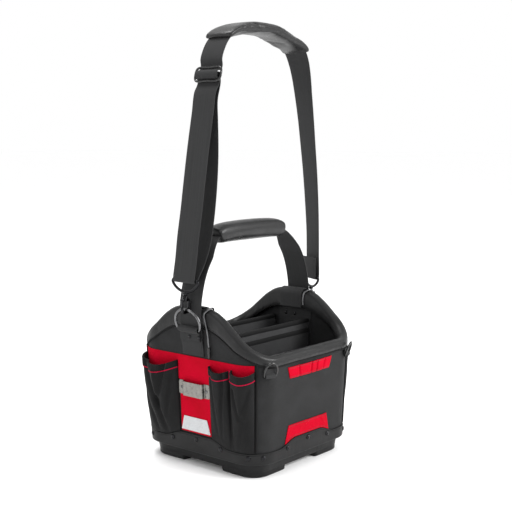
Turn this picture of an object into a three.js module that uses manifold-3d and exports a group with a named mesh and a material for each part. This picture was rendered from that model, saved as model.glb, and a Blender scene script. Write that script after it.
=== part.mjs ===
// Open top tool tote: moulded base, stiff fabric body, padded saddle-shaped rim, pockets on two
// faces, webbing handle with a padded grip, and a shoulder strap clipped to two steel rings.
// Millimetres, +Z up. The face with the two red patches looks along -Y, and the pocket faces look
// along -X (near) and +X (far). The pieces are made round the middle of the tote's base, and then
// moved so that the origin lies on the floor under the middle of the whole part, strap included.
import * as THREE from 'three';
import { mergeVertices } from 'three/addons/utils/BufferGeometryUtils.js';
import Module from 'manifold-3d';

const wasm = await Module();
wasm.setup();

// Body
const BODY_LENGTH = 271;
const BODY_WIDTH = 273;
const CORNER_RADIUS = 44;
const WALL = 3;
const WALL_FLARE = 7.5;

// Base tray with its feet, riveted lip and arches
const FLOOR_TOP = 30;
const FOOT_ARCH = 9;
const FOOT_LENGTH = 78;
const FOOT_SLOPE = 5;
const TRAY_INSET = 8;
const TRAY_DRAFT = 2;
const LIP_BOTTOM = 27;
const LIP_LOW = 47;
const LIP_RISE = 12;
const LIP_WALL = 2.5;
const LIP_CREST_HALF = 32;
const LIP_SLOPE_END = 80;
const BASE_RIVET_RADIUS = 4.5;
const BASE_RIVET_HEIGHT = 2.4;
const BASE_RIVET_PITCH = 57;
const BASE_RIVET_DROP = 8;
const BASE_RIVETS_PER_SIDE = 5;

// Padded rim
const RIM_LOW = 212;
const RIM_RISE = 74;
const RIM_THICKNESS = 20;
const RIM_PROUD = 2;
const RIM_BAND_LOW = 19;
const RIM_BAND_PEAK = 36;
const RIM_FLAT_HALF = 25;
const RIM_SLOPE_END = 160;

// Panels and patches on the walls
const PANEL_THICKNESS = 1;
const RED_BAND_TOP = 199;
const RED_BAND_BOTTOM = 155;
const RED_PANEL_HALF = 35;
const RED_PANEL_BOTTOM = 62;
const MID_SEAM_MARGIN = 3;
const REFLECTOR_BOTTOM = 65;
const REFLECTOR_HEIGHT = 25;
const REFLECTOR_TOP_WIDTH = 54;
const REFLECTOR_BOTTOM_WIDTH = 68;
const UPPER_PATCH_TOP = 187;
const UPPER_PATCH_HEIGHT = 20;
const UPPER_PATCH_TOP_WIDTH = 125;
const UPPER_PATCH_BOTTOM_WIDTH = 112;
const LOWER_PATCH_TOP = 83;
const LOWER_PATCH_TOP_WIDTH = 108;
const LOWER_PATCH_BOTTOM_WIDTH = 125;

// Pockets
const POCKET_CLOTH = 1.6;
const POCKET_TOP = 188;
const POCKET_SAG = 12;
const LARGE_POCKET_BULGE = 20;
const DOUBLE_POCKET_BULGE = 12;
const DOUBLE_POCKET_SAG = 7;
const BULGE_ACROSS = 0.7;
const BULGE_UP = 0.8;
const FOLD_PLACE = 0.56;

// Tape measure clip
const CLIP_LENGTH = 73;
const CLIP_HEIGHT = 25;
const CLIP_METAL = 1.2;
const CLIP_STANDOFF = 6.5;
const CLIP_PLATE_LENGTH = 41;
const CLIP_BOTTOM = 129;
const CLIP_RIVET_RADIUS = 3;
const CLIP_RIVET_INSET = 8;

// Handle
const HANDLE_WIDTH = 50;
const HANDLE_WEB = 2.2;
const HANDLE_RISE = 124;
const HANDLE_BOTTOM = 202;
const HANDLE_CUTS_PER_ROW = 2;
const GRIP_WIDTH = 38;
const GRIP_HEIGHT = 33;
const GRIP_FOLD = 0.56;
const GRIP_ROWS_EACH_WAY = 2.8;
const GRIP_SLOT_GAP = 0.8;
const WRAP_WIDTH = 52;
const WRAP_CLOTH = 1.8;
const WRAP_DROP = 24;
const INNER_PATCH_WIDTH = 76;
const INNER_PATCH_HEIGHT = 46;
const INNER_PATCH_CLOTH = 1.4;

// Steel rings that carry the shoulder strap
const RING_WIDTH = 57;
const RING_DEPTH = 36;
const RING_WIRE = 2.5;
const NEAR_RING_LEAN = 10;
const FAR_RING_LEAN = 80;
const LOOP_WIDTH = 46;
const LOOP_WEB = 1.8;
const LOOP_TAIL = 20;
const SMALL_RIVET_RADIUS = 3.2;
const SMALL_RIVET_HEIGHT = 1.6;
const SMALL_RIVET_PITCH = 22;
const SMALL_RIVET_DROP = 13;
const SMALL_RIVET_INSET = 11;
const RING_SHOULDER = 0.3;

// Wires hooked over the rim beside the handle
const RIM_WIRE = 1.7;
const WIRE_SLEEVE = 2.6;
const WIRE_SLEEVE_LENGTH = 20;
const WIRE_SPREAD = 40;
const WIRE_DROP = 52;

// Corner rings and their tabs
const CORNER_RING_WIDTH = 24;
const CORNER_RING_DEPTH = 24;
const CORNER_RING_WIRE = 1.9;
const CORNER_RING_BAR_HEIGHT = 181;
const CORNER_RING_LEAN = 15;
const CORNER_TAB_WIDTH = 19;
const CORNER_TAB_WEB = 1.5;
const CORNER_TAB_HEIGHT = 12;
const CORNER_RING_OFFSET = 19;

// Shoulder strap, adjuster and pad
const STRAP_WIDTH = 50;
const STRAP_WEB = 2;
const STRAP_RISE = 481;
const STRAP_APEX_X = 25;
const STRAP_TAIL = 38;
const FAR_STRAP_TURN = 25;
const STRAP_JOIN = 0.01;
const STRAP_CUTS_PER_ROW = 1.5;
const ADJUSTER_WIRE = 2;
const ADJUSTER_HEIGHT = 23;
const ADJUSTER_SIDE_GAP = 1.5;
const ADJUSTER_CORNER = 0.35;
const PAD_WIDTH = 66;
const PAD_THICKNESS = 14;
const PAD_ROWS_NEAR = 5;
const PAD_ROWS_FAR = 5.2;
const PAD_SLOT_GAP = 1.2;

// Swivel snap hooks
const EYE_WIRE = 2.4;
const EYE_HEIGHT = 25;
const EYE_SIDE_GAP = 2;
const HOOK_WIRE = 2.6;
const HOOK_HALF_WIDTH = 8;
const HOOK_DROP = 25;
const COLLAR_RADIUS = 5;
const COLLAR_TOP = -2.5;
const COLLAR_LENGTH = 8;
const STEM_RADIUS = 2;
const STEM_HEAD_RADIUS = 3.2;
const STEM_HEAD_HEIGHT = 2.4;
const BALL_RADIUS = 4.2;
const GATE_RADIUS = 1.8;
const GATE_BARREL_RADIUS = 2.4;
const GATE_BARREL_WIDTH = 3.6;
const GATE_PIN_RADIUS = 1.1;
const GATE_PIVOT_DROP = 8.5;
const GATE_PIVOT_INSET = 0.5;
const NOSE_RISE = 3;
const EAR_THICKNESS = 1.4;

// Dividers inside
const DIVIDER_PLACE = -30;
const DIVIDER_THICKNESS = 9;
const DIVIDER_TOP = 230;
const BACK_DIVIDER_PLACE = 50;
const BACK_DIVIDER_THICKNESS = 6;
const DIVIDER_POCKET_THICKNESS = 3;
const DIVIDER_POCKET_DROP = 17;
const DIVIDER_POCKET_END_GAP = 6;

// Facet counts
const FACE_CUTS = 8;
const FRONT_CUTS = 6;
const CORNER_CUTS = 5;
const RIM_ARC_CUTS = 4;
const FOOT_ARC_CUTS = 6;
const RING_ARC_CUTS = 8;
const STRAP_RING_CUTS = 22;
const CORNER_RING_CUTS = 20;
const RIM_WIRE_CUTS = 17;
const EYE_CUTS = 22;
const HOOK_CUTS = 16;
const ADJUSTER_CUTS = 26;
const ROD_SIDES = 6;
const RIVET_SIDES = 6;
const PIN_SIDES = 8;
const ROUND_SIDES = 10;
const SLEEVE_SIDES = 10;

// Clearances
const GAP = 0.3;
const RIM_SEAT_GAP = 0.85;
const LIP_SEAM_GAP = 0.9;
const HINGE_GAP = 0.4;

const UP = new THREE.Vector3(0, 0, 1);
const ACROSS = new THREE.Vector3(0, 1, 0);

const FABRIC = { color: 0x2c2d2e, roughness: 0.85, metalness: 0 };
const PADDING = { color: 0x47484a, roughness: 0.6, metalness: 0 };
const WEBBING = { color: 0x353637, roughness: 0.8, metalness: 0 };
const RED_CLOTH = { color: 0xc8142b, roughness: 0.75, metalness: 0 };
const BASE_PLASTIC = { color: 0x2a2b2c, roughness: 0.55, metalness: 0 };
const BLACK_PLASTIC = { color: 0x151515, roughness: 0.4, metalness: 0 };
const GRIP_LEATHER = { color: 0x333436, roughness: 0.5, metalness: 0 };
const REFLECTIVE = { color: 0xd9dbdd, roughness: 0.4, metalness: 0.1 };
const STEEL = { color: 0x8c8e90, roughness: 0.3, metalness: 1 };
const DARK_METAL = { color: 0x202124, roughness: 0.35, metalness: 0.8 };
const CLIP_STEEL = { color: 0xb9bab6, roughness: 0.4, metalness: 1 };

const part = new THREE.Group();
part.name = 'tool_tote';

function addPiece(name, geometry, finish) {
  const mesh = new THREE.Mesh(geometry, new THREE.MeshStandardMaterial(finish));
  mesh.name = name;
  part.add(mesh);
}

// Shared geometry functions

// Closed surface over rings of equal point count. A loop joins its last ring to its first.
function skin(rings, loop = false) {
  const count = rings[0].length;
  const points = rings.flat();
  const faces = [];
  const spans = loop ? rings.length : rings.length - 1;
  for (let i = 0; i < spans; i += 1) {
    const low = i * count;
    const high = ((i + 1) % rings.length) * count;
    for (let j = 0; j < count; j += 1) {
      const next = (j + 1) % count;
      faces.push([low + j, low + next, high + next], [low + j, high + next, high + j]);
    }
  }
  if (!loop) {
    for (const [ring, turned] of [[0, true], [rings.length - 1, false]]) {
      const hub = points.length;
      const middle = rings[ring].reduce((sum, point) => sum.add(point), new THREE.Vector3());
      points.push(middle.divideScalar(count));
      for (let j = 0; j < count; j += 1) {
        const a = ring * count + j;
        const b = ring * count + ((j + 1) % count);
        faces.push(turned ? [hub, b, a] : [hub, a, b]);
      }
    }
  }
  return facesOutwards(points, faces);
}

function facesOutwards(points, faces) {
  const cross = new THREE.Vector3();
  let volume = 0;
  for (const [a, b, c] of faces) {
    volume += cross.crossVectors(points[a], points[b]).dot(points[c]);
  }
  const ordered = volume < 0 ? faces.map(([a, b, c]) => [a, c, b]) : faces;
  const geometry = new THREE.BufferGeometry().setFromPoints(points);
  geometry.setIndex(ordered.flat());
  geometry.computeVertexNormals();
  return geometry;
}

function toSolid(geometry) {
  const bare = geometry.clone();
  bare.deleteAttribute('normal');
  bare.deleteAttribute('uv');
  const merged = mergeVertices(bare);
  return new wasm.Manifold(new wasm.Mesh({
    numProp: 3,
    vertProperties: new Float32Array(merged.attributes.position.array),
    triVerts: new Uint32Array(merged.index.array),
  }));
}

function toGeometry(solid) {
  const mesh = solid.getMesh();
  const geometry = new THREE.BufferGeometry();
  geometry.setAttribute('position', new THREE.BufferAttribute(mesh.vertProperties, 3));
  geometry.setIndex(new THREE.BufferAttribute(mesh.triVerts, 1));
  geometry.computeVertexNormals();
  return geometry;
}

function joined(geometries) {
  return toGeometry(geometries.map(toSolid).reduce((whole, piece) => whole.add(piece)));
}

function without(geometry, cutters) {
  return toGeometry(cutters.map(toSolid).reduce((left, cutter) => left.subtract(cutter), toSolid(geometry)));
}

// Smooth step from 1 at the start to 0 at the end.
function easeDown(value, start, end) {
  const share = THREE.MathUtils.clamp((value - start) / (end - start), 0, 1);
  return (1 + Math.cos(Math.PI * share)) / 2;
}

// Round rod along a curve. A loop closes on itself.
function rod(curve, radius, steps, sides, loop = false) {
  const frames = curve.computeFrenetFrames(steps, loop);
  const rings = [];
  for (let i = 0; i < (loop ? steps : steps + 1); i += 1) {
    const centre = curve.getPointAt(i / steps);
    rings.push(Array.from({ length: sides }, (_, j) => {
      const angle = (2 * Math.PI * j) / sides;
      return centre.clone()
        .addScaledVector(frames.normals[i], radius * Math.cos(angle))
        .addScaledVector(frames.binormals[i], radius * Math.sin(angle));
    }));
  }
  return skin(rings, loop);
}

function smoothCurve(points, loop = false) {
  return new THREE.CatmullRomCurve3(points, loop, 'centripetal');
}

// Cylinder from one height to another on the Z axis.
function upright(radius, bottom, top, sides) {
  const geometry = new THREE.CylinderGeometry(radius, radius, top - bottom, sides);
  geometry.rotateX(Math.PI / 2);
  geometry.translate(0, 0, (top + bottom) / 2);
  return geometry;
}

// Cylinder along Y, centred on a point of the XZ plane.
function crosswise(radius, length, x, z, sides) {
  const geometry = new THREE.CylinderGeometry(radius, radius, length, sides);
  geometry.translate(x, 0, z);
  return geometry;
}

// Domed rivet head standing on the XY plane.
function rivetHead(radius, height) {
  const table = [
    { radius: 0, rise: 0 },
    { radius: 1, rise: 0 },
    { radius: 0.75, rise: 0.75 },
    { radius: 0, rise: 1 },
  ];
  const profile = table.map((row) => new THREE.Vector2(row.radius * radius, row.rise * height));
  const geometry = new THREE.LatheGeometry(profile, RIVET_SIDES);
  geometry.rotateX(Math.PI / 2);
  return geometry;
}

// The wall's outline

const STRAIGHT_X = BODY_LENGTH - 2 * CORNER_RADIUS;
const STRAIGHT_Y = BODY_WIDTH - 2 * CORNER_RADIUS;
const CORNER_ARC = (Math.PI / 2) * CORNER_RADIUS;
const GIRTH = 2 * (STRAIGHT_X + STRAIGHT_Y) + 4 * CORNER_ARC;
const NEAR = 0;
const FRONT = GIRTH / 4;
const FAR = GIRTH / 2;
const FACES = [NEAR, FRONT, FAR, FRONT + FAR];
const CORNER_MIDDLE = (STRAIGHT_Y + CORNER_ARC) / 2;
const LEAN = WALL_FLARE / (RIM_LOW - LIP_LOW);

function flare(z) {
  return LEAN * (z - LIP_LOW);
}

// Point on the wall. The place runs along the wall's outline at the lip, from the middle of the
// near face towards the front, and out is the distance out of the fabric's outer surface.
function wallPoint(place, z, out = 0) {
  const reach = flare(z) + out;
  const sides = [
    { length: STRAIGHT_Y, normal: [-1, 0], from: [-STRAIGHT_X / 2, STRAIGHT_Y / 2], along: [0, -1] },
    { length: STRAIGHT_X, normal: [0, -1], from: [-STRAIGHT_X / 2, -STRAIGHT_Y / 2], along: [1, 0] },
    { length: STRAIGHT_Y, normal: [1, 0], from: [STRAIGHT_X / 2, -STRAIGHT_Y / 2], along: [0, 1] },
    { length: STRAIGHT_X, normal: [0, 1], from: [STRAIGHT_X / 2, STRAIGHT_Y / 2], along: [-1, 0] },
  ];
  let left = THREE.MathUtils.euclideanModulo(place + STRAIGHT_Y / 2, GIRTH);
  for (const { length, normal, from, along } of sides) {
    if (left <= length + CORNER_ARC) {
      const run = Math.min(left, length);
      const angle = Math.max(left - length, 0) / CORNER_RADIUS;
      const radius = CORNER_RADIUS + reach;
      return new THREE.Vector3(
        from[0] + along[0] * run + radius * (normal[0] * Math.cos(angle) + along[0] * Math.sin(angle)),
        from[1] + along[1] * run + radius * (normal[1] * Math.cos(angle) + along[1] * Math.sin(angle)),
        z,
      );
    }
    left -= length + CORNER_ARC;
  }
  return wallPoint(0, z, out);
}

// Frame on the wall: X along the outline, Y up the wall, Z out of it.
function wallFrame(place, z, out = 0) {
  const along = wallPoint(place + 1, z).sub(wallPoint(place - 1, z)).normalize();
  const rise = wallPoint(place, z + 1).sub(wallPoint(place, z - 1)).normalize();
  const normal = new THREE.Vector3().crossVectors(along, rise).normalize();
  return new THREE.Matrix4().makeBasis(along, rise, normal).setPosition(wallPoint(place, z, out));
}

function onWall(geometry, place, z, out) {
  return geometry.applyMatrix4(wallFrame(place, z, out));
}

// Distance along the outline from the middle of the closest of the given faces.
function distanceFrom(place, faces) {
  return Math.min(...faces.map((face) => {
    const away = THREE.MathUtils.euclideanModulo(place - face, GIRTH);
    return Math.min(away, GIRTH - away);
  }));
}

function rimPeak(place) {
  return easeDown(distanceFrom(place, [NEAR, FAR]), RIM_FLAT_HALF, RIM_SLOPE_END);
}

function rimCrest(place) {
  return RIM_LOW + RIM_RISE * rimPeak(place);
}

function wallTop(place) {
  return rimCrest(place) - THREE.MathUtils.lerp(RIM_BAND_LOW, RIM_BAND_PEAK, rimPeak(place));
}

function lipTop(place) {
  return LIP_LOW + LIP_RISE * easeDown(distanceFrom(place, FACES), LIP_CREST_HALF, LIP_SLOPE_END);
}

// Places round the outline, closer together where the rim slopes and round the corners.
const OUTLINE = [];
for (const [start, straight, cuts] of [
  [-STRAIGHT_Y / 2, STRAIGHT_Y, FACE_CUTS],
  [STRAIGHT_Y / 2 + CORNER_ARC, STRAIGHT_X, FRONT_CUTS],
  [STRAIGHT_Y / 2 + STRAIGHT_X + 2 * CORNER_ARC, STRAIGHT_Y, FACE_CUTS],
  [1.5 * STRAIGHT_Y + STRAIGHT_X + 3 * CORNER_ARC, STRAIGHT_X, FRONT_CUTS],
]) {
  for (let i = 0; i < cuts; i += 1) OUTLINE.push(start + (straight * i) / cuts);
  for (let i = 0; i < CORNER_CUTS; i += 1) OUTLINE.push(start + straight + (CORNER_ARC * i) / CORNER_CUTS);
}

function outlineRing(height, out) {
  return OUTLINE.map((place) => wallPoint(place, height(place), out));
}

// Base tray

function baseTray() {
  const lipOut = GAP + LIP_WALL;
  const lipSolid = skin([
    outlineRing(() => FOOT_ARCH, -TRAY_INSET - TRAY_DRAFT),
    outlineRing(() => LIP_BOTTOM - LIP_WALL, -TRAY_INSET),
    outlineRing(() => LIP_BOTTOM, -TRAY_INSET / 2),
    outlineRing(() => LIP_BOTTOM + LIP_WALL, lipOut),
    outlineRing(lipTop, lipOut),
    outlineRing(lipTop, GAP),
    outlineRing(() => FLOOR_TOP, GAP),
  ]);
  const pieces = [lipSolid];
  for (const [signX, signY] of [[-1, -1], [1, -1], [1, 1], [-1, 1]]) {
    pieces.push(foot(signX, signY));
  }
  for (const face of FACES) {
    for (let i = 0; i < BASE_RIVETS_PER_SIDE; i += 1) {
      const place = face + (i - (BASE_RIVETS_PER_SIDE - 1) / 2) * BASE_RIVET_PITCH;
      const head = rivetHead(BASE_RIVET_RADIUS, BASE_RIVET_HEIGHT + LIP_WALL);
      pieces.push(onWall(head, place, lipTop(place) - BASE_RIVET_DROP, GAP));
    }
  }
  return joined(pieces);
}

// Corner foot: a block with a round outer corner and sloping inner sides.
function foot(signX, signY) {
  const outerX = BODY_LENGTH / 2 - TRAY_INSET - TRAY_DRAFT + flare(0);
  const outerY = BODY_WIDTH / 2 - TRAY_INSET - TRAY_DRAFT + flare(0);
  const radius = CORNER_RADIUS - TRAY_INSET - TRAY_DRAFT + flare(0);
  const ring = (z, inset, grow) => {
    const points = [];
    const far = [outerX + grow, outerY + grow];
    const near = [outerX - FOOT_LENGTH - inset, outerY - FOOT_LENGTH - inset];
    points.push(new THREE.Vector3(signX * near[0], signY * near[1], z));
    points.push(new THREE.Vector3(signX * far[0], signY * near[1], z));
    for (let i = 0; i <= FOOT_ARC_CUTS; i += 1) {
      const angle = (Math.PI / 2) * (i / FOOT_ARC_CUTS);
      points.push(new THREE.Vector3(
        signX * (far[0] - radius + radius * Math.cos(angle)),
        signY * (far[1] - radius + radius * Math.sin(angle)),
        z,
      ));
    }
    points.push(new THREE.Vector3(signX * near[0], signY * far[1], z));
    return points;
  };
  return skin([
    ring(0, 0, -TRAY_DRAFT),
    ring(TRAY_DRAFT, FOOT_SLOPE / 4, 0),
    ring(LIP_BOTTOM - LIP_WALL, FOOT_SLOPE, 0),
  ]);
}

addPiece('base_tray', baseTray(), BASE_PLASTIC);

// Body shell and padded rim

addPiece('body_shell', skin([
  outlineRing(() => FLOOR_TOP + GAP, 0),
  outlineRing(wallTop, 0),
  outlineRing(wallTop, -WALL),
  outlineRing(() => FLOOR_TOP + GAP + WALL, -WALL),
]), FABRIC);

// Rim section at a place: flat foot, upright sides and a half-round crest.
function rimSection(place) {
  const radius = RIM_THICKNESS / 2;
  const crest = rimCrest(place);
  const foot = wallTop(place) + RIM_SEAT_GAP;
  const points = [wallPoint(place, foot, RIM_PROUD)];
  for (let i = 0; i <= RIM_ARC_CUTS; i += 1) {
    const angle = Math.PI * (1 - i / RIM_ARC_CUTS);
    const out = RIM_PROUD - radius - radius * Math.cos(angle);
    points.push(wallPoint(place, Math.max(crest - radius + radius * Math.sin(angle), foot + GAP), out));
  }
  points.push(wallPoint(place, foot, RIM_PROUD - RIM_THICKNESS));
  return points;
}

addPiece('rim_padding', skin(OUTLINE.map(rimSection), true), PADDING);

// Point round the rim's section. An angle of 0 is its outer side and 180 its inner side, drop is
// how far below the half-round part the point lies, and lift is the distance from the surface.
function roundRim(place, angle, drop, lift) {
  const radius = RIM_THICKNESS / 2;
  const turn = THREE.MathUtils.degToRad(angle);
  const out = RIM_PROUD - radius + (radius + lift) * Math.cos(turn);
  return wallPoint(place, rimCrest(place) - radius + (radius + lift) * Math.sin(turn) - drop, out);
}

// Sheets that lie on the wall

// Shares of a stretch of the outline at which the wall has an edge, each step cut further.
function outlineShares(start, end, cuts) {
  const turned = [-GIRTH, 0, GIRTH].flatMap((turn) => OUTLINE.map((place) => place + turn));
  const inside = turned.filter((place) => place > start && place < end).sort((a, b) => a - b);
  const bounds = [start, ...inside, end];
  const shares = [0];
  for (let i = 1; i < bounds.length; i += 1) {
    for (let j = 1; j <= cuts; j += 1) {
      const place = THREE.MathUtils.lerp(bounds[i - 1], bounds[i], j / cuts);
      shares.push((place - start) / (end - start));
    }
  }
  return shares;
}

// Closed sheet on the wall. From and to bound it along the outline and low and high by height, each
// as a function of the other share, and bulge lifts it off the wall.
function wallSheet({ from, to, low, high, out, thickness, bulge = () => 0, cuts = 1, rows = 1 }) {
  const rings = [];
  for (const u of outlineShares(from(0), to(0), cuts)) {
    const outer = [];
    const inner = [];
    for (let j = 0; j <= rows; j += 1) {
      const v = j / rows;
      const place = THREE.MathUtils.lerp(from(v), to(v), u);
      const z = THREE.MathUtils.lerp(low(u, place), high(u, place), v);
      const lift = out + bulge(u, v);
      outer.push(wallPoint(place, z, lift + thickness));
      inner.unshift(wallPoint(place, z, lift));
    }
    rings.push([...outer, ...inner]);
  }
  return skin(rings);
}

const ON_WALL = GAP;
const ON_PANEL = GAP + PANEL_THICKNESS + GAP;

// A pocket's fullness at a share of its height, full at its mouth.
function bulgeUp(v) {
  return Math.sin((Math.PI / 2) * v) ** BULGE_UP;
}

for (const [side, middle] of [['near', NEAR], ['far', FAR]]) {
  const band = {
    from: () => middle - CORNER_MIDDLE + MID_SEAM_MARGIN,
    to: () => middle + CORNER_MIDDLE - MID_SEAM_MARGIN,
    low: () => RED_BAND_BOTTOM,
    high: () => RED_BAND_TOP,
    out: ON_WALL,
    thickness: PANEL_THICKNESS,
  };
  const centre = {
    ...band,
    from: () => middle - RED_PANEL_HALF,
    to: () => middle + RED_PANEL_HALF,
    low: () => RED_PANEL_BOTTOM,
  };
  addPiece(`${side}_red_panel`, joined([wallSheet(band), wallSheet(centre)]), RED_CLOTH);

  addPiece(`${side}_reflective_patch`, wallSheet({
    from: (v) => middle - THREE.MathUtils.lerp(REFLECTOR_BOTTOM_WIDTH, REFLECTOR_TOP_WIDTH, v) / 2,
    to: (v) => middle + THREE.MathUtils.lerp(REFLECTOR_BOTTOM_WIDTH, REFLECTOR_TOP_WIDTH, v) / 2,
    low: () => REFLECTOR_BOTTOM,
    high: () => REFLECTOR_BOTTOM + REFLECTOR_HEIGHT,
    out: ON_PANEL,
    thickness: PANEL_THICKNESS,
  }), REFLECTIVE);

  // One gathered pocket, full at its mouth and flat at its sides and bottom.
  addPiece(`${side}_pocket_large`, wallSheet({
    from: () => middle - CORNER_MIDDLE + MID_SEAM_MARGIN,
    to: () => middle - RED_PANEL_HALF - MID_SEAM_MARGIN,
    low: (u, place) => lipTop(place) + LIP_SEAM_GAP,
    high: (u) => POCKET_TOP - POCKET_SAG * Math.sin(Math.PI * u),
    out: ON_PANEL,
    thickness: POCKET_CLOTH,
    bulge: (u, v) => LARGE_POCKET_BULGE * Math.sin(Math.PI * u) ** BULGE_ACROSS * bulgeUp(v),
    cuts: 2,
    rows: 4,
  }), FABRIC);

  // Two cells with a deep fold between them.
  const cell = (u) => (u < FOLD_PLACE ? u / FOLD_PLACE : (u - FOLD_PLACE) / (1 - FOLD_PLACE));
  addPiece(`${side}_pocket_double`, wallSheet({
    from: () => middle + RED_PANEL_HALF + MID_SEAM_MARGIN,
    to: () => middle + CORNER_MIDDLE - MID_SEAM_MARGIN,
    low: (u, place) => lipTop(place) + LIP_SEAM_GAP,
    high: (u) => POCKET_TOP - DOUBLE_POCKET_SAG * Math.abs(Math.sin(Math.PI * cell(u))),
    out: ON_PANEL,
    thickness: POCKET_CLOTH,
    bulge: (u, v) => DOUBLE_POCKET_BULGE * Math.abs(Math.sin(Math.PI * cell(u))) ** BULGE_ACROSS * bulgeUp(v),
    cuts: 2,
    rows: 4,
  }), FABRIC);
}

addPiece('front_patch_upper', wallSheet({
  from: (v) => FRONT - THREE.MathUtils.lerp(UPPER_PATCH_BOTTOM_WIDTH, UPPER_PATCH_TOP_WIDTH, v) / 2,
  to: (v) => FRONT + THREE.MathUtils.lerp(UPPER_PATCH_BOTTOM_WIDTH, UPPER_PATCH_TOP_WIDTH, v) / 2,
  low: () => UPPER_PATCH_TOP - UPPER_PATCH_HEIGHT,
  high: () => UPPER_PATCH_TOP,
  out: ON_WALL,
  thickness: PANEL_THICKNESS,
}), RED_CLOTH);

addPiece('front_patch_lower', wallSheet({
  from: (v) => FRONT - THREE.MathUtils.lerp(LOWER_PATCH_BOTTOM_WIDTH, LOWER_PATCH_TOP_WIDTH, v) / 2,
  to: (v) => FRONT + THREE.MathUtils.lerp(LOWER_PATCH_BOTTOM_WIDTH, LOWER_PATCH_TOP_WIDTH, v) / 2,
  low: (u, place) => lipTop(place) + LIP_SEAM_GAP,
  high: () => LOWER_PATCH_TOP,
  out: ON_WALL,
  thickness: PANEL_THICKNESS,
  cuts: 2,
}), RED_CLOTH);

// Tape measure clip: a strap of sheet metal with a raised plate and two riveted tabs.
function tapeClip() {
  const table = [
    { along: -CLIP_LENGTH / 2, lift: 0 },
    { along: -CLIP_PLATE_LENGTH / 2 - CLIP_STANDOFF / 2, lift: 0 },
    { along: -CLIP_PLATE_LENGTH / 2, lift: CLIP_STANDOFF },
    { along: CLIP_PLATE_LENGTH / 2, lift: CLIP_STANDOFF },
    { along: CLIP_PLATE_LENGTH / 2 + CLIP_STANDOFF / 2, lift: 0 },
    { along: CLIP_LENGTH / 2, lift: 0 },
  ];
  const outline = [
    ...table.map((row) => new THREE.Vector2(row.along, row.lift + CLIP_METAL)),
    ...table.toReversed().map((row) => new THREE.Vector2(row.along, row.lift)),
  ];
  const settings = { depth: CLIP_HEIGHT, bevelEnabled: false };
  const strip = new THREE.ExtrudeGeometry(new THREE.Shape(outline), settings);
  strip.rotateX(Math.PI / 2);
  strip.translate(0, CLIP_HEIGHT / 2, 0);
  return strip;
}

const CLIP_MIDDLE = CLIP_BOTTOM + CLIP_HEIGHT / 2;
addPiece('tape_clip', onWall(tapeClip(), NEAR, CLIP_MIDDLE, ON_PANEL), CLIP_STEEL);
for (const [name, sign] of [['clip_rivet_left', -1], ['clip_rivet_right', 1]]) {
  const place = NEAR + sign * (CLIP_LENGTH / 2 - CLIP_RIVET_INSET);
  const head = rivetHead(CLIP_RIVET_RADIUS, SMALL_RIVET_HEIGHT);
  addPiece(name, onWall(head, place, CLIP_MIDDLE, ON_PANEL + CLIP_METAL + GAP), DARK_METAL);
}

// Straps

// Smooth curve through rows of x, y and z. A row's wide is a share of the width, and its yaw turns
// the strap's width about the upright direction.
function strapPath(rows) {
  const curve = smoothCurve(rows.map((row) => new THREE.Vector3(row.x, row.y ?? 0, row.z)));
  const last = rows.length - 1;
  const between = (index, key, plain) => {
    const start = Math.min(Math.floor(index), last - 1);
    const share = index - start;
    return THREE.MathUtils.lerp(rows[start][key] ?? plain, rows[start + 1][key] ?? plain, share);
  };
  return (index) => {
    const along = curve.getTangent(index / last);
    const side = ACROSS.clone().applyAxisAngle(UP, THREE.MathUtils.degToRad(between(index, 'yaw', 0)));
    side.addScaledVector(along, -side.dot(along)).normalize();
    return {
      at: curve.getPoint(index / last),
      side,
      face: new THREE.Vector3().crossVectors(along, side),
      wide: between(index, 'wide', 1),
    };
  };
}

function pathIndices(start, end, cutsPerRow) {
  const count = Math.max(Math.round((end - start) * cutsPerRow), 1);
  return Array.from({ length: count + 1 }, (_, i) => start + ((end - start) * i) / count);
}

function ribbon(path, indices, width, thickness) {
  const corners = [[-0.5, -0.5], [0.5, -0.5], [0.5, 0.5], [-0.5, 0.5]];
  return skin(indices.map((index) => {
    const { at, side, face, wide } = path(index);
    return corners.map(([w, t]) => at.clone()
      .addScaledVector(side, w * width * wide)
      .addScaledVector(face, t * thickness));
  }));
}

// Padded sleeve round a strap: a rounded outside with a flat slot for the strap.
function sleeve(path, indices, { width, height, slotWidth, slotHeight, fullness }) {
  const ring = (index, w, h, power) => {
    const { at, side, face } = path(index);
    return Array.from({ length: SLEEVE_SIDES }, (_, j) => {
      const angle = (2 * Math.PI * (j + 0.5)) / SLEEVE_SIDES;
      const cos = Math.cos(angle);
      const sin = Math.sin(angle);
      return at.clone()
        .addScaledVector(side, (w / 2) * Math.sign(cos) * Math.abs(cos) ** power)
        .addScaledVector(face, (h / 2) * Math.sign(sin) * Math.abs(sin) ** power);
    });
  };
  const last = indices.length - 1;
  const outer = indices.map((index, i) => {
    const full = fullness(i / last);
    return ring(index, width * full.width, height * full.height, 0.7);
  });
  const inner = indices.toReversed().map((index) => ring(index, slotWidth, slotHeight, 0.3));
  return skin([...outer, ...inner], true);
}

// Handle

const HANDLE_FOOT_OUT = GAP + HANDLE_WEB / 2;
const HANDLE_RIM_OUT = RIM_PROUD + HANDLE_FOOT_OUT;
const RIM_PEAK = RIM_LOW + RIM_RISE;
const PEAK_WALL_TOP = RIM_PEAK - RIM_BAND_PEAK;
const HANDLE_HALF = BODY_LENGTH / 2 + flare(RIM_PEAK) + HANDLE_RIM_OUT;

// The inner patches lie under the rim, the small rivets near their top and the rings above those.
const INNER_PATCH_TOP = PEAK_WALL_TOP - WALL;
const SMALL_RIVET_LINE = INNER_PATCH_TOP - SMALL_RIVET_INSET;
const RING_BAR_HEIGHT = SMALL_RIVET_LINE + SMALL_RIVET_DROP;

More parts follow.
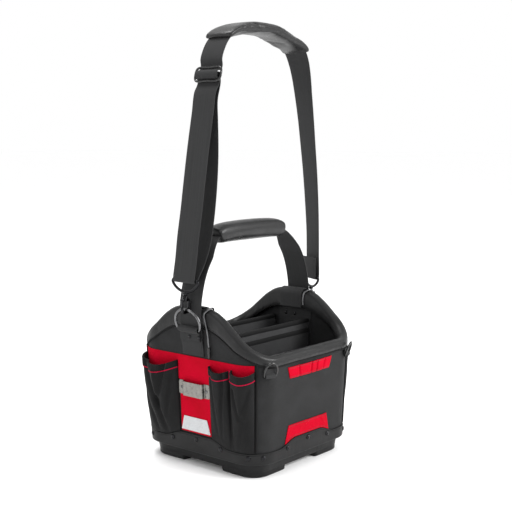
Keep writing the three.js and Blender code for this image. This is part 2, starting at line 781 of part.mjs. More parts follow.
// Half of the handle's arch, from the rim to the middle, as shares of its half span and its rise.
const HANDLE_ARCH = [
  { reach: 1, rise: 0.02 },
  { reach: 0.975, rise: 0.21 },
  { reach: 0.935, rise: 0.38 },
  { reach: 0.88, rise: 0.53 },
  { reach: 0.8, rise: 0.68 },
  { reach: 0.7, rise: 0.84, wide: 0.75 },
  { reach: 0.6, rise: 0.94, wide: GRIP_FOLD },
  { reach: 0.47, rise: 0.982, wide: GRIP_FOLD },
  { reach: 0.24, rise: 0.998, wide: GRIP_FOLD },
  { reach: 0, rise: 1, wide: GRIP_FOLD },
];

function handleRows() {
  const loopFoot = RING_BAR_HEIGHT - LOOP_TAIL;
  const onFace = (z, out) => ({ x: -(BODY_LENGTH / 2 + flare(z) + out), z });
  const half = [
    onFace(HANDLE_BOTTOM, HANDLE_FOOT_OUT),
    onFace(THREE.MathUtils.lerp(HANDLE_BOTTOM, loopFoot, 0.4), HANDLE_FOOT_OUT),
    onFace(THREE.MathUtils.lerp(HANDLE_BOTTOM, loopFoot, 0.9), HANDLE_RIM_OUT),
    onFace(RING_BAR_HEIGHT, HANDLE_RIM_OUT),
    onFace(THREE.MathUtils.lerp(RING_BAR_HEIGHT, RIM_PEAK, 0.5), HANDLE_RIM_OUT),
    ...HANDLE_ARCH.map((row) => ({
      x: -row.reach * HANDLE_HALF,
      z: RIM_PEAK + row.rise * HANDLE_RISE,
      wide: row.wide,
    })),
  ];
  const back = half.slice(0, -1).reverse().map((row) => ({ ...row, x: -row.x }));
  return [...half, ...back];
}

const HANDLE_ROWS = handleRows();
const HANDLE_PATH = strapPath(HANDLE_ROWS);
const HANDLE_LAST = HANDLE_ROWS.length - 1;
const HANDLE_INDICES = pathIndices(0, HANDLE_LAST, HANDLE_CUTS_PER_ROW);
addPiece('handle_webbing', ribbon(HANDLE_PATH, HANDLE_INDICES, HANDLE_WIDTH, HANDLE_WEB), WEBBING);

addPiece('handle_grip', sleeve(
  HANDLE_PATH,
  pathIndices(
    HANDLE_LAST / 2 - GRIP_ROWS_EACH_WAY,
    HANDLE_LAST / 2 + GRIP_ROWS_EACH_WAY,
    HANDLE_CUTS_PER_ROW,
  ),
  {
    width: GRIP_WIDTH,
    height: GRIP_HEIGHT,
    slotWidth: HANDLE_WIDTH * GRIP_FOLD + 2 * GRIP_SLOT_GAP,
    slotHeight: HANDLE_WEB + 2 * GRIP_SLOT_GAP,
    fullness: (share) => {
      const full = 0.94 + 0.06 * Math.sin(Math.PI * share) ** 0.4;
      return { width: full, height: full };
    },
  },
), GRIP_LEATHER);

// Rim wraps under the handle, inner patches and small rivets

const WRAP_LIFT = GAP + WRAP_CLOTH / 2;
for (const [side, middle] of [['near', NEAR], ['far', FAR]]) {
  const section = [
    ...[70, 90, 115, 140, 165, 180].map((angle) => roundRim(middle, angle, 0, WRAP_LIFT)),
    roundRim(middle, 180, WRAP_DROP / 2, WRAP_LIFT),
    roundRim(middle, 180, WRAP_DROP, WRAP_LIFT),
  ];
  const path = strapPath(section.map((point) => ({ x: point.x, z: point.z })));
  const wrap = ribbon(path, pathIndices(0, section.length - 1, 1), WRAP_WIDTH, WRAP_CLOTH);
  addPiece(`${side}_rim_wrap`, wrap, WEBBING);

  addPiece(`${side}_inner_patch`, wallSheet({
    from: () => middle - INNER_PATCH_WIDTH / 2,
    to: () => middle + INNER_PATCH_WIDTH / 2,
    low: () => INNER_PATCH_TOP - INNER_PATCH_HEIGHT,
    high: () => INNER_PATCH_TOP,
    out: -WALL - GAP - INNER_PATCH_CLOTH,
    thickness: INNER_PATCH_CLOTH,
  }), WEBBING);

  for (const [order, step] of [['first', 0], ['second', 1]]) {
    const place = middle + step * SMALL_RIVET_PITCH;
    const inner = rivetHead(SMALL_RIVET_RADIUS, SMALL_RIVET_HEIGHT);
    inner.rotateX(Math.PI);
    const innerOut = -WALL - 2 * GAP - INNER_PATCH_CLOTH;
    addPiece(`${side}_inner_rivet_${order}`, onWall(inner, place, SMALL_RIVET_LINE, innerOut), DARK_METAL);
    const outer = rivetHead(SMALL_RIVET_RADIUS, SMALL_RIVET_HEIGHT);
    const outerOut = HANDLE_RIM_OUT + HANDLE_WEB / 2 + 3 * GAP + 2 * LOOP_WEB;
    addPiece(`${side}_loop_rivet_${order}`, onWall(outer, place, SMALL_RIVET_LINE, outerOut), DARK_METAL);
  }
}

// Steel rings and their webbing loops

// D-shaped outline in the XY plane: a straight bar on the X axis and an arch above it.
function ringCurve(width, depth) {
  const half = width / 2;
  const shoulder = RING_SHOULDER * depth;
  const bar = [-0.86, -0.4, 0.4, 0.86].map((share) => new THREE.Vector3(share * half, 0, 0));
  const points = [...bar];
  for (let i = 0; i <= RING_ARC_CUTS; i += 1) {
    const angle = (Math.PI * i) / RING_ARC_CUTS;
    const rise = shoulder + (depth - shoulder) * Math.sin(angle);
    points.push(new THREE.Vector3(half * Math.cos(angle), rise, 0));
  }
  return smoothCurve(points, true);
}

const RING_OUT = HANDLE_RIM_OUT + HANDLE_WEB / 2 + GAP + LOOP_WEB + 3 * GAP + RING_WIRE;
const LOOP_RADIUS = RING_WIRE + 3 * GAP + LOOP_WEB / 2;

// Turns a flat ring up from its hinge bar and leans it out of the wall by an angle.
function leanedRing(geometry, lean, place, z, out) {
  const turned = geometry.rotateX(THREE.MathUtils.degToRad(lean));
  return onWall(turned, place, z, out);
}

for (const [side, middle, lean] of [['near', NEAR, NEAR_RING_LEAN], ['far', FAR, FAR_RING_LEAN]]) {
  const ring = rod(ringCurve(RING_WIDTH, RING_DEPTH), RING_WIRE, STRAP_RING_CUTS, ROD_SIDES, true);
  addPiece(`${side}_strap_ring`, leanedRing(ring, lean, middle, RING_BAR_HEIGHT, RING_OUT), STEEL);

  const tailBack = -RING_OUT + HANDLE_RIM_OUT + HANDLE_WEB / 2 + GAP + LOOP_WEB / 2;
  const tailFront = tailBack + LOOP_WEB + GAP;
  const around = [180, 150, 120, 90, 60, 30, 0, -30, -60].map((angle) => {
    const turn = THREE.MathUtils.degToRad(angle);
    return { x: LOOP_RADIUS * Math.cos(turn), z: LOOP_RADIUS * Math.sin(turn) };
  });
  const rows = [
    { x: tailBack, z: -LOOP_TAIL },
    { x: tailBack, z: -LOOP_TAIL / 2 },
    { x: tailBack, z: -LOOP_RADIUS },
    ...around,
    { x: tailFront + GAP, z: -1.5 * LOOP_RADIUS },
    { x: tailFront, z: -LOOP_TAIL / 2 },
    { x: tailFront, z: -LOOP_TAIL },
  ];
  const loop = ribbon(strapPath(rows), pathIndices(0, rows.length - 1, 1), LOOP_WIDTH, LOOP_WEB);
  loop.applyMatrix4(new THREE.Matrix4().makeBasis(
    new THREE.Vector3(0, 0, 1),
    new THREE.Vector3(1, 0, 0),
    new THREE.Vector3(0, 1, 0),
  ));
  addPiece(`${side}_ring_loop`, onWall(loop, middle, RING_BAR_HEIGHT, RING_OUT), WEBBING);
}

// Wires over the rim beside the handle

// Route of the wire over the rim, from inside: shares of its spread along the outline and of its
// drop below the crest, and degrees round the crest.
const WIRE_ROUTE = [
  { spread: 0.775, angle: 180, drop: 0.346 },
  { spread: 0.75, angle: 180, drop: 0.154 },
  { spread: 0.8, angle: 155, drop: 0 },
  { spread: 0.9, angle: 120, drop: 0 },
  { spread: 0.95, angle: 85, drop: 0 },
  { spread: 0.9, angle: 45, drop: 0 },
  { spread: 0.8, angle: 10, drop: 0 },
  { spread: 0.825, angle: 0, drop: 0.154 },
  { spread: 0.95, angle: 0, drop: 0.538 },
  { spread: 1, angle: 0, drop: 1 },
];

for (const [side, middle, way] of [['near', NEAR, 1], ['far', FAR, -1]]) {
  const points = WIRE_ROUTE.map((row) => {
    const place = middle + way * row.spread * WIRE_SPREAD;
    return roundRim(place, row.angle, row.drop * WIRE_DROP, GAP + RIM_WIRE);
  });
  const curve = smoothCurve(points);
  addPiece(`${side}_rim_wire`, rod(curve, RIM_WIRE, RIM_WIRE_CUTS, ROD_SIDES), STEEL);
  const end = curve.getPointAt(1).addScaledVector(UP, -GAP);
  const foot = end.clone().addScaledVector(UP, -WIRE_SLEEVE_LENGTH);
  foot.addScaledVector(foot.clone().setZ(0).normalize(), -LEAN * WIRE_SLEEVE_LENGTH);
  const sleeveLine = new THREE.LineCurve3(end, foot);
  addPiece(`${side}_wire_sleeve`, rod(sleeveLine, WIRE_SLEEVE, 2, PIN_SIDES), BLACK_PLASTIC);
}

// Corner rings on the two front corners

const CORNER_RING_OUT = GAP + CORNER_TAB_WEB + 2 * GAP + CORNER_RING_WIRE;
const CORNER_LOOP_RADIUS = CORNER_RING_WIRE + 2 * GAP + CORNER_TAB_WEB / 2;
const SECOND_CORNER = CORNER_MIDDLE + STRAIGHT_X + CORNER_ARC;
for (const [side, place] of [
  ['left', CORNER_MIDDLE + CORNER_RING_OFFSET],
  ['right', SECOND_CORNER - CORNER_RING_OFFSET],
]) {
  const bend = ringCurve(CORNER_RING_WIDTH, CORNER_RING_DEPTH);
  const ring = rod(bend, CORNER_RING_WIRE, CORNER_RING_CUTS, ROD_SIDES, true);
  const ringPiece = leanedRing(ring, CORNER_RING_LEAN, place, CORNER_RING_BAR_HEIGHT, CORNER_RING_OUT);
  addPiece(`${side}_corner_ring`, ringPiece, BLACK_PLASTIC);

  const tailBack = -CORNER_RING_OUT + GAP + CORNER_TAB_WEB / 2;
  const tailFront = tailBack + CORNER_TAB_WEB + GAP;
  const around = [-180, -150, -120, -90, -60, -30, 0, 30, 60].map((angle) => {
    const turn = THREE.MathUtils.degToRad(angle);
    return { x: CORNER_LOOP_RADIUS * Math.cos(turn), z: CORNER_LOOP_RADIUS * Math.sin(turn) };
  });
  const rows = [
    { x: tailBack, z: CORNER_TAB_HEIGHT },
    { x: tailBack, z: CORNER_LOOP_RADIUS },
    ...around,
    { x: tailFront + GAP, z: 1.6 * CORNER_LOOP_RADIUS },
    { x: tailFront, z: CORNER_TAB_HEIGHT },
  ];
  const tab = ribbon(strapPath(rows), pathIndices(0, rows.length - 1, 1), CORNER_TAB_WIDTH, CORNER_TAB_WEB);
  tab.applyMatrix4(new THREE.Matrix4().makeBasis(
    new THREE.Vector3(0, 0, 1),
    new THREE.Vector3(1, 0, 0),
    new THREE.Vector3(0, 1, 0),
  ));
  addPiece(`${side}_corner_tab`, onWall(tab, place, CORNER_RING_BAR_HEIGHT, CORNER_RING_OUT), WEBBING);
}

// Swivel snap hooks

// Middle of the strap ring's arch, which the hook holds, as x and z on the near side.
function hookedPoint(lean) {
  const frame = wallFrame(NEAR, RING_BAR_HEIGHT, RING_OUT);
  const turn = THREE.MathUtils.degToRad(lean);
  return new THREE.Vector3(0, RING_DEPTH * Math.cos(turn), RING_DEPTH * Math.sin(turn)).applyMatrix4(frame);
}

// Eye that the strap folds round, with the ball and the headed stem of the swivel. Made round the
// swivel's axis, with the ball just above the origin.
function snapEye() {
  const half = STRAP_WIDTH / 2 + EYE_WIRE + EYE_SIDE_GAP;
  const side = [
    { across: 0.3, rise: 0.24 },
    { across: 0.68, rise: 0.44 },
    { across: 0.93, rise: 0.7 },
    { across: 1, rise: 0.88 },
    { across: 0.94, rise: 1 },
    { across: 0.5, rise: 1 },
  ];
  const place = (row, sign) => new THREE.Vector3(0, sign * row.across * half, row.rise * EYE_HEIGHT);
  const points = [
    new THREE.Vector3(0, 0, 0.2 * EYE_HEIGHT),
    ...side.map((row) => place(row, 1)),
    new THREE.Vector3(0, 0, EYE_HEIGHT),
    ...side.toReversed().map((row) => place(row, -1)),
  ];
  const ball = new THREE.SphereGeometry(BALL_RADIUS, PIN_SIDES, ROD_SIDES);
  ball.translate(0, 0, COLLAR_TOP + GAP + BALL_RADIUS);
  const headTop = COLLAR_TOP - COLLAR_LENGTH / 2;
  return joined([
    rod(smoothCurve(points, true), EYE_WIRE, EYE_CUTS, ROD_SIDES, true),
    ball,
    upright(STEM_RADIUS, headTop - STEM_HEAD_HEIGHT / 2, 0, PIN_SIDES),
    upright(STEM_HEAD_RADIUS, headTop - STEM_HEAD_HEIGHT, headTop, PIN_SIDES),
  ]);
}

const GATE_TOP = -GATE_PIVOT_DROP;
const NOSE_TOP = -HOOK_DROP + NOSE_RISE;
const PIVOT_X = -HOOK_HALF_WIDTH + GATE_PIVOT_INSET;

// Hook body: a collar round the stem, a round hook below it and two ears with the gate's pin.
function snapBody() {
  const low = -HOOK_DROP - RING_WIRE - GAP - HOOK_WIRE;
  const curve = smoothCurve([
    new THREE.Vector3(0.3 * HOOK_HALF_WIDTH, 0, COLLAR_TOP - 0.6 * COLLAR_LENGTH),
    new THREE.Vector3(0.92 * HOOK_HALF_WIDTH, 0, COLLAR_TOP - COLLAR_LENGTH),
    new THREE.Vector3(HOOK_HALF_WIDTH, 0, -0.7 * HOOK_DROP),
    new THREE.Vector3(HOOK_HALF_WIDTH, 0, -HOOK_DROP),
    new THREE.Vector3(0.7 * HOOK_HALF_WIDTH, 0, 0.3 * -HOOK_DROP + 0.7 * low),
    new THREE.Vector3(0, 0, low),
    new THREE.Vector3(-0.7 * HOOK_HALF_WIDTH, 0, 0.3 * -HOOK_DROP + 0.7 * low),
    new THREE.Vector3(-HOOK_HALF_WIDTH, 0, -HOOK_DROP),
    new THREE.Vector3(-HOOK_HALF_WIDTH, 0, NOSE_TOP),
  ]);
  const collarBottom = COLLAR_TOP - COLLAR_LENGTH;
  const headTop = COLLAR_TOP - COLLAR_LENGTH / 2;
  const hook = rod(curve, HOOK_WIRE, HOOK_CUTS, ROD_SIDES);
  const collar = upright(COLLAR_RADIUS, collarBottom, COLLAR_TOP, ROUND_SIDES);
  const headBottom = headTop - STEM_HEAD_HEIGHT;
  const cutters = [
    upright(STEM_RADIUS + HINGE_GAP, headTop, COLLAR_TOP + STEM_RADIUS, ROUND_SIDES),
    upright(STEM_HEAD_RADIUS + HINGE_GAP, headBottom - HINGE_GAP, headTop + HINGE_GAP, ROUND_SIDES),
    crosswise(GATE_BARREL_RADIUS + HINGE_GAP, GATE_BARREL_WIDTH + 2 * GAP, PIVOT_X, GATE_TOP, ROUND_SIDES),
  ];
  const ears = [];
  for (const sign of [-1, 1]) {
    const earLength = 2 * GATE_BARREL_RADIUS + COLLAR_RADIUS / 2;
    const ear = new THREE.BoxGeometry(earLength, EAR_THICKNESS, 2 * GATE_BARREL_RADIUS);
    const earY = sign * (GATE_BARREL_WIDTH / 2 + GAP + EAR_THICKNESS / 2);
    ear.translate(PIVOT_X + COLLAR_RADIUS / 4, earY, GATE_TOP);
    ears.push(ear);
  }
  const pinLength = GATE_BARREL_WIDTH + 2 * GAP + EAR_THICKNESS;
  const pin = crosswise(GATE_PIN_RADIUS, pinLength, PIVOT_X, GATE_TOP, PIN_SIDES);
  const body = [...ears, hook, collar].map(toSolid).reduce((sum, piece) => sum.add(piece));
  const cut = cutters.map(toSolid).reduce((left, cutter) => left.subtract(cutter), body);
  return toGeometry(cut.add(toSolid(pin)));
}

// Spring gate between the collar and the hook's nose.
function snapGate() {
  const lever = upright(GATE_RADIUS, NOSE_TOP + GAP, GATE_TOP, PIN_SIDES);
  lever.translate(PIVOT_X, 0, 0);
  const barrel = crosswise(GATE_BARREL_RADIUS, GATE_BARREL_WIDTH, PIVOT_X, GATE_TOP, ROUND_SIDES);
  const bore = crosswise(GATE_PIN_RADIUS + HINGE_GAP, 2 * GATE_BARREL_WIDTH, PIVOT_X, GATE_TOP, PIN_SIDES);
  return without(joined([lever, barrel]), [bore]);
}

const NEAR_HOOK = hookedPoint(NEAR_RING_LEAN).add(new THREE.Vector3(0, 0, HOOK_DROP));
const FAR_HOOK = hookedPoint(FAR_RING_LEAN).add(new THREE.Vector3(0, 0, HOOK_DROP));
FAR_HOOK.x *= -1;
for (const [side, origin, spin, eyeTurn] of [
  ['near', NEAR_HOOK, 0, 0],
  ['far', FAR_HOOK, 180, -FAR_STRAP_TURN],
]) {
  for (const [name, geometry, turn] of [
    [`${side}_snap_eye`, snapEye(), eyeTurn],
    [`${side}_snap_body`, snapBody(), spin],
    [`${side}_snap_gate`, snapGate(), spin],
  ]) {
    geometry.rotateZ(THREE.MathUtils.degToRad(turn));
    geometry.translate(origin.x, origin.y, origin.z);
    addPiece(name, geometry, DARK_METAL);
  }
}

// Shoulder strap

const STRAP_TOP = RIM_PEAK + STRAP_RISE;
const STRAP_FOLD = EYE_WIRE + GAP + STRAP_WEB / 2;
const NEAR_EYE_BAR = new THREE.Vector2(NEAR_HOOK.x, NEAR_HOOK.z + EYE_HEIGHT);
const FAR_EYE_BAR = new THREE.Vector2(FAR_HOOK.x, FAR_HOOK.z + EYE_HEIGHT);

// Routes as shares of the way from a hook's eye to the strap's highest point.
const LOOP_INNER_LAYER = [
  { reach: 0.3, rise: 0.7 },
  { reach: 0.302, rise: 0.62 },
  { reach: 0.306, rise: 0.54 },
  { reach: 0.302, rise: 0.45 },
  { reach: 0.28, rise: 0.34 },
  { reach: 0.243, rise: 0.23 },
  { reach: 0.19, rise: 0.13 },
  { reach: 0.115, rise: 0.06 },
];
const LOOP_OUTER_LAYER = [
  { reach: 0.012, rise: 0.08 },
  { reach: 0.042, rise: 0.17 },
  { reach: 0.084, rise: 0.265 },
  { reach: 0.12, rise: 0.36 },
  { reach: 0.157, rise: 0.455 },
  { reach: 0.197, rise: 0.55 },
  { reach: 0.243, rise: 0.65 },
  { reach: 0.277, rise: 0.73 },
];
const ADJUSTER_PLACE = { reach: 0.318, rise: 0.8 };
const NEAR_UPPER = [
  { reach: 0.363, rise: 0.862 },
  { reach: 0.41, rise: 0.909 },
  { reach: 0.47, rise: 0.942 },
  { reach: 0.56, rise: 0.967 },
  { reach: 0.68, rise: 0.984 },
  { reach: 0.8, rise: 0.994 },
  { reach: 0.9, rise: 0.999 },
];
const FAR_SIDE = [
  { reach: 0.83, rise: 0.996 },
  { reach: 0.68, rise: 0.981 },
  { reach: 0.54, rise: 0.963 },
  { reach: 0.42, rise: 0.946 },
  { reach: 0.33, rise: 0.926 },
  { reach: 0.265, rise: 0.888, turn: 0.1 },
  { reach: 0.213, rise: 0.832, turn: 0.3 },
  { reach: 0.17, rise: 0.757, turn: 0.5 },
  { reach: 0.121, rise: 0.66, turn: 0.65 },
  { reach: 0.077, rise: 0.552, turn: 0.75 },
  { reach: 0.035, rise: 0.444, turn: 0.82 },
  { reach: -0.002, rise: 0.315, turn: 0.9 },
  { reach: -0.025, rise: 0.19, turn: 1 },
  { reach: -0.03, rise: 0.1, turn: 1 },
];

function routeRows(table, bar) {
  return table.map((row) => ({
    x: THREE.MathUtils.lerp(bar.x, STRAP_APEX_X, row.reach),
    z: THREE.MathUtils.lerp(bar.y, STRAP_TOP, row.rise),
    yaw: -(row.turn ?? 0) * FAR_STRAP_TURN,
  }));
}

// Rows round an eye's bar, at angles counted from the X direction.
function foldRows(bar, angles, yaw) {
  return angles.map((angle) => {
    const around = THREE.MathUtils.degToRad(angle);
    return besideBar(bar, STRAP_FOLD * Math.cos(around), STRAP_FOLD * Math.sin(around), yaw);
  });
}

// Row at a distance from an eye's bar, square to the bar, and above it.
function besideBar(bar, away, above, yaw) {
  const turn = THREE.MathUtils.degToRad(yaw);
  return { x: bar.x + away * Math.cos(turn), y: away * Math.sin(turn), z: bar.y + above, yaw };
}

// The adjuster's frame: along the strap and out of its face, from its middle bar.
const ADJUSTER_AT = routeRows([ADJUSTER_PLACE], NEAR_EYE_BAR)[0];
const [BEFORE_ADJUSTER] = routeRows(LOOP_OUTER_LAYER.slice(-1), NEAR_EYE_BAR);
const [AFTER_ADJUSTER] = routeRows(NEAR_UPPER.slice(0, 1), NEAR_EYE_BAR);
const ADJUSTER_ANGLE = Math.atan2(AFTER_ADJUSTER.x - BEFORE_ADJUSTER.x, AFTER_ADJUSTER.z - BEFORE_ADJUSTER.z);

function adjusterRow(out, along) {
  return {
    x: ADJUSTER_AT.x + along * Math.sin(ADJUSTER_ANGLE) - out * Math.cos(ADJUSTER_ANGLE),
    z: ADJUSTER_AT.z + along * Math.cos(ADJUSTER_ANGLE) + out * Math.sin(ADJUSTER_ANGLE),
  };
}

const WRAP_RADIUS = ADJUSTER_WIRE + GAP + STRAP_WEB / 2;
const OVER_RADIUS = WRAP_RADIUS + STRAP_WEB + GAP;
const BAR_PITCH = ADJUSTER_HEIGHT / 2;

// The strap's end is sewn round the middle bar, and leaves behind the layer that runs over it.
const SEWN_END = [
  adjusterRow(0.7 * WRAP_RADIUS, -0.72 * WRAP_RADIUS),
  adjusterRow(WRAP_RADIUS, 0),
  adjusterRow(0.7 * WRAP_RADIUS, 0.72 * WRAP_RADIUS),
  adjusterRow(0, WRAP_RADIUS),
  adjusterRow(-0.7 * WRAP_RADIUS, 0.72 * WRAP_RADIUS),
  adjusterRow(-1.15 * WRAP_RADIUS, -0.3 * WRAP_RADIUS),
  adjusterRow(-1.8 * WRAP_RADIUS, -0.55 * BAR_PITCH),
  adjusterRow(-2.35 * WRAP_RADIUS, -1.1 * BAR_PITCH),
  adjusterRow(-2.5 * WRAP_RADIUS, -1.7 * BAR_PITCH),
];
const THROUGH_ADJUSTER = [
  { out: -1.4 * WRAP_RADIUS, along: 1.5 },
  { out: -1.4 * WRAP_RADIUS, along: 1 },
  { out: -0.74 * WRAP_RADIUS, along: 0.71 },
  { out: 0.45 * WRAP_RADIUS, along: 0.57 },
  { out: 0.86 * OVER_RADIUS, along: 0.33 },
];
const OVER_BAR = [
  ...THROUGH_ADJUSTER.map((row) => adjusterRow(row.out, -row.along * BAR_PITCH)),
  adjusterRow(1.03 * OVER_RADIUS, 0),
  ...THROUGH_ADJUSTER.toReversed().map((row) => adjusterRow(row.out, row.along * BAR_PITCH)),
];

const TAIL_OUT = 1.15 * STRAP_FOLD;
const STRAP_ROWS = [
  ...SEWN_END,
  ...routeRows(LOOP_INNER_LAYER, NEAR_EYE_BAR),
  ...foldRows(NEAR_EYE_BAR, [0, -45, -90, -135, -180], 0),
  ...routeRows(LOOP_OUTER_LAYER, NEAR_EYE_BAR),
  ...OVER_BAR,
  ...routeRows(NEAR_UPPER, NEAR_EYE_BAR),
  { x: STRAP_APEX_X, z: STRAP_TOP },
  ...routeRows(FAR_SIDE, FAR_EYE_BAR),
  ...foldRows(FAR_EYE_BAR, [0, -45, -90, -135, -180], -FAR_STRAP_TURN),
  besideBar(FAR_EYE_BAR, -TAIL_OUT, STRAP_TAIL / 2, -FAR_STRAP_TURN),
  besideBar(FAR_EYE_BAR, -TAIL_OUT, STRAP_TAIL, -FAR_STRAP_TURN),
];
const STRAP_PATH = strapPath(STRAP_ROWS);
const STRAP_LAST = STRAP_ROWS.length - 1;
const APEX = STRAP_ROWS.findIndex((row) => row.x === STRAP_APEX_X && row.z === STRAP_TOP);

// The strap in three lengths, which meet above the near eye and under the pad.
const NEAR_EYE = SEWN_END.length + LOOP_INNER_LAYER.length - 0.5;
for (const [name, start, end] of [
  ['strap_near_inner', 0, NEAR_EYE - STRAP_JOIN],
  ['strap_near', NEAR_EYE + STRAP_JOIN, APEX - STRAP_JOIN],
  ['strap_far', APEX + STRAP_JOIN, STRAP_LAST],
]) {
  const indices = pathIndices(start, end, STRAP_CUTS_PER_ROW);
  addPiece(name, ribbon(STRAP_PATH, indices, STRAP_WIDTH, STRAP_WEB), WEBBING);
}

addPiece('shoulder_pad', sleeve(
  STRAP_PATH,
  pathIndices(APEX - PAD_ROWS_NEAR, APEX + PAD_ROWS_FAR, STRAP_CUTS_PER_ROW),
  {
    width: PAD_WIDTH,
    height: PAD_THICKNESS,
    slotWidth: STRAP_WIDTH + 2 * PAD_SLOT_GAP,
    slotHeight: STRAP_WEB + 2 * PAD_SLOT_GAP,
    fullness: (share) => {
      const round = Math.sin(Math.PI * share) ** 0.25;
      return { width: 0.86 + 0.14 * round, height: 0.6 + 0.4 * round };
    },
  },
), GRIP_LEATHER);

// Adjuster: a rounded frame with a middle bar, square to the strap.
function adjuster() {
  const half = STRAP_WIDTH / 2 + ADJUSTER_WIRE + ADJUSTER_SIDE_GAP;
  const corner = ADJUSTER_CORNER * BAR_PITCH;
  const outline = [
    [0, -BAR_PITCH],
    [half - corner, -BAR_PITCH],
    [half, -BAR_PITCH + corner],
    [half, BAR_PITCH - corner],
    [half - corner, BAR_PITCH],
    [0, BAR_PITCH],
    [-half + corner, BAR_PITCH],
    [-half, BAR_PITCH - corner],
    [-half, -BAR_PITCH + corner],
    [-half + corner, -BAR_PITCH],
  ].map(([across, along]) => new THREE.Vector3(0, across, along));
  const frame = rod(smoothCurve(outline, true), ADJUSTER_WIRE, ADJUSTER_CUTS, ROD_SIDES, true);
  const bar = crosswise(ADJUSTER_WIRE, 2 * half, 0, 0, ROD_SIDES);
  const whole = joined([frame, bar]);
  whole.rotateY(ADJUSTER_ANGLE);
  whole.translate(ADJUSTER_AT.x, 0, ADJUSTER_AT.z);
  return whole;
}

addPiece('strap_adjuster', adjuster(), BLACK_PLASTIC);

// Dividers inside

// Upright panel along X from wall to wall, with its ends following the flare of the walls.
function dividerPanel(middle, thickness, bottom, top, endGap) {
  const rings = [bottom, top].map((z) => {
    const end = BODY_LENGTH / 2 + flare(z) - WALL - endGap;
    return [[-end, -1], [end, -1], [end, 1], [-end, 1]]
      .map(([x, side]) => new THREE.Vector3(x, middle + (side * thickness) / 2, z));
  });
  return skin(rings);
}

const PANEL_BOTTOM = FLOOR_TOP + WALL + 2 * GAP;
const PATCH_GAP = 2 * GAP + INNER_PATCH_CLOTH;
for (const [name, place, thickness] of [
  ['centre_divider', DIVIDER_PLACE, DIVIDER_THICKNESS],
  ['back_divider', BACK_DIVIDER_PLACE, BACK_DIVIDER_THICKNESS],
]) {
  addPiece(name, dividerPanel(place, thickness, PANEL_BOTTOM, DIVIDER_TOP, PATCH_GAP), PADDING);
}
const POCKET_PLACE = DIVIDER_PLACE - DIVIDER_THICKNESS / 2 - GAP - DIVIDER_POCKET_THICKNESS / 2;
const POCKET_PANEL_TOP = DIVIDER_TOP - DIVIDER_POCKET_DROP;
addPiece(
  'divider_pocket',
  dividerPanel(
    POCKET_PLACE,
    DIVIDER_POCKET_THICKNESS,
    PANEL_BOTTOM,
    POCKET_PANEL_TOP,
    DIVIDER_POCKET_END_GAP,
  ),
  FABRIC,
);

const whole = new THREE.Box3().setFromObject(part);
const middle = whole.getCenter(new THREE.Vector3());
part.position.set(-middle.x, -middle.y, -whole.min.z);

export default part;
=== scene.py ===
"""Looks of the open top tool tote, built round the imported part.

Sizes are millimetres round the middle of the tote's base. Bench moves them into the row's frame and
into metres when a piece is finished. A place on the wall is the distance along its outline at the
base's lip, from the middle of the near pocket face towards the front.
"""

import logging
import math
from dataclasses import dataclass, field
from enum import Enum
from typing import Callable, Sequence, Union

import bmesh
import bpy
import numpy as np
from mathutils import Matrix, Vector, noise

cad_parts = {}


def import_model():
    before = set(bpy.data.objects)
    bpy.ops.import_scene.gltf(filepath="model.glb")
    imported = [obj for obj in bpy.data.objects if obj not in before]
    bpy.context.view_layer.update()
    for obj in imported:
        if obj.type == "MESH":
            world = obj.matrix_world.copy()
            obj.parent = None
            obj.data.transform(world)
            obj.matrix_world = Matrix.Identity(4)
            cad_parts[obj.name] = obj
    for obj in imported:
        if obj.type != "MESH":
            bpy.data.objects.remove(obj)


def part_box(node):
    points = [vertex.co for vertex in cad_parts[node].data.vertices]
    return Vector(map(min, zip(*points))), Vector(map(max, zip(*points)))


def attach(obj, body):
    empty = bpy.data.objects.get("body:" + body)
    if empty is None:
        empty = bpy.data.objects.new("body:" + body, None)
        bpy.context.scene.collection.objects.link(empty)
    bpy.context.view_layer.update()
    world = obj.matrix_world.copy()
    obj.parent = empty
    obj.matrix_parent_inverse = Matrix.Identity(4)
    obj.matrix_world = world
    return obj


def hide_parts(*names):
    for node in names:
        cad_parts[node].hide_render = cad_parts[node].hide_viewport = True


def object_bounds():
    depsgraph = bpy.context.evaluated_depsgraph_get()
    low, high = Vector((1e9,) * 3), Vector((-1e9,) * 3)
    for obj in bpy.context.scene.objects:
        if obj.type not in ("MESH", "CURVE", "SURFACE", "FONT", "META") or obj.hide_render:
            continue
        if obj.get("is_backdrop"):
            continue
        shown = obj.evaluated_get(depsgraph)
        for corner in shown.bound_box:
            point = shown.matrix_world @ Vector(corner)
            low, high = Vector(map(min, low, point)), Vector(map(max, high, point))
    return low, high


LOG = logging.getLogger("tote")
MM = 0.001
Array = np.ndarray
Socket = bpy.types.NodeSocket
Value = Union[float, Socket]
Field = Callable[[float, float], float]


# Sizes that several sub-assemblies share
GAP = 0.3
STRAP_WIDTH = 50.0
HANDLE_WEB = 2.2
RING_BAR = 249.0
LOOP_TAIL = 20.0
EYE_WIRE = 2.4
CENTRE_HALF = 35.0
CLOTH_MARGIN = 3.0
PANEL_FACE = 1.6
TRAY_FLOOR = 30.0

# Angles past which edges are sharp, in degrees
SHEET_CREASE = 50
WIRE_CREASE = 80

# Steps of round wires, and of the grid that a sheet's flat size is measured on
WIRE_SIDES = 18
CUT_STEPS = (48, 32)

# Smallest share of its rectangle that a sheet's area is given as
LEAST_AREA = 0.31


class Side(Enum):
    """Pocket face, with its word in the pieces' names and its quarter of the wall's outline."""

    NEAR = ("near", 0)
    FAR = ("far", 2)

    @classmethod
    def both(cls) -> list[tuple[str, int]]:
        """Gives the word and the quarter of each face."""
        return [face.value for face in cls]


class Held(Enum):
    """How a sheet of cloth is held."""

    STRETCHED = "stretched"
    GATHERED = "gathered"


# Finishes


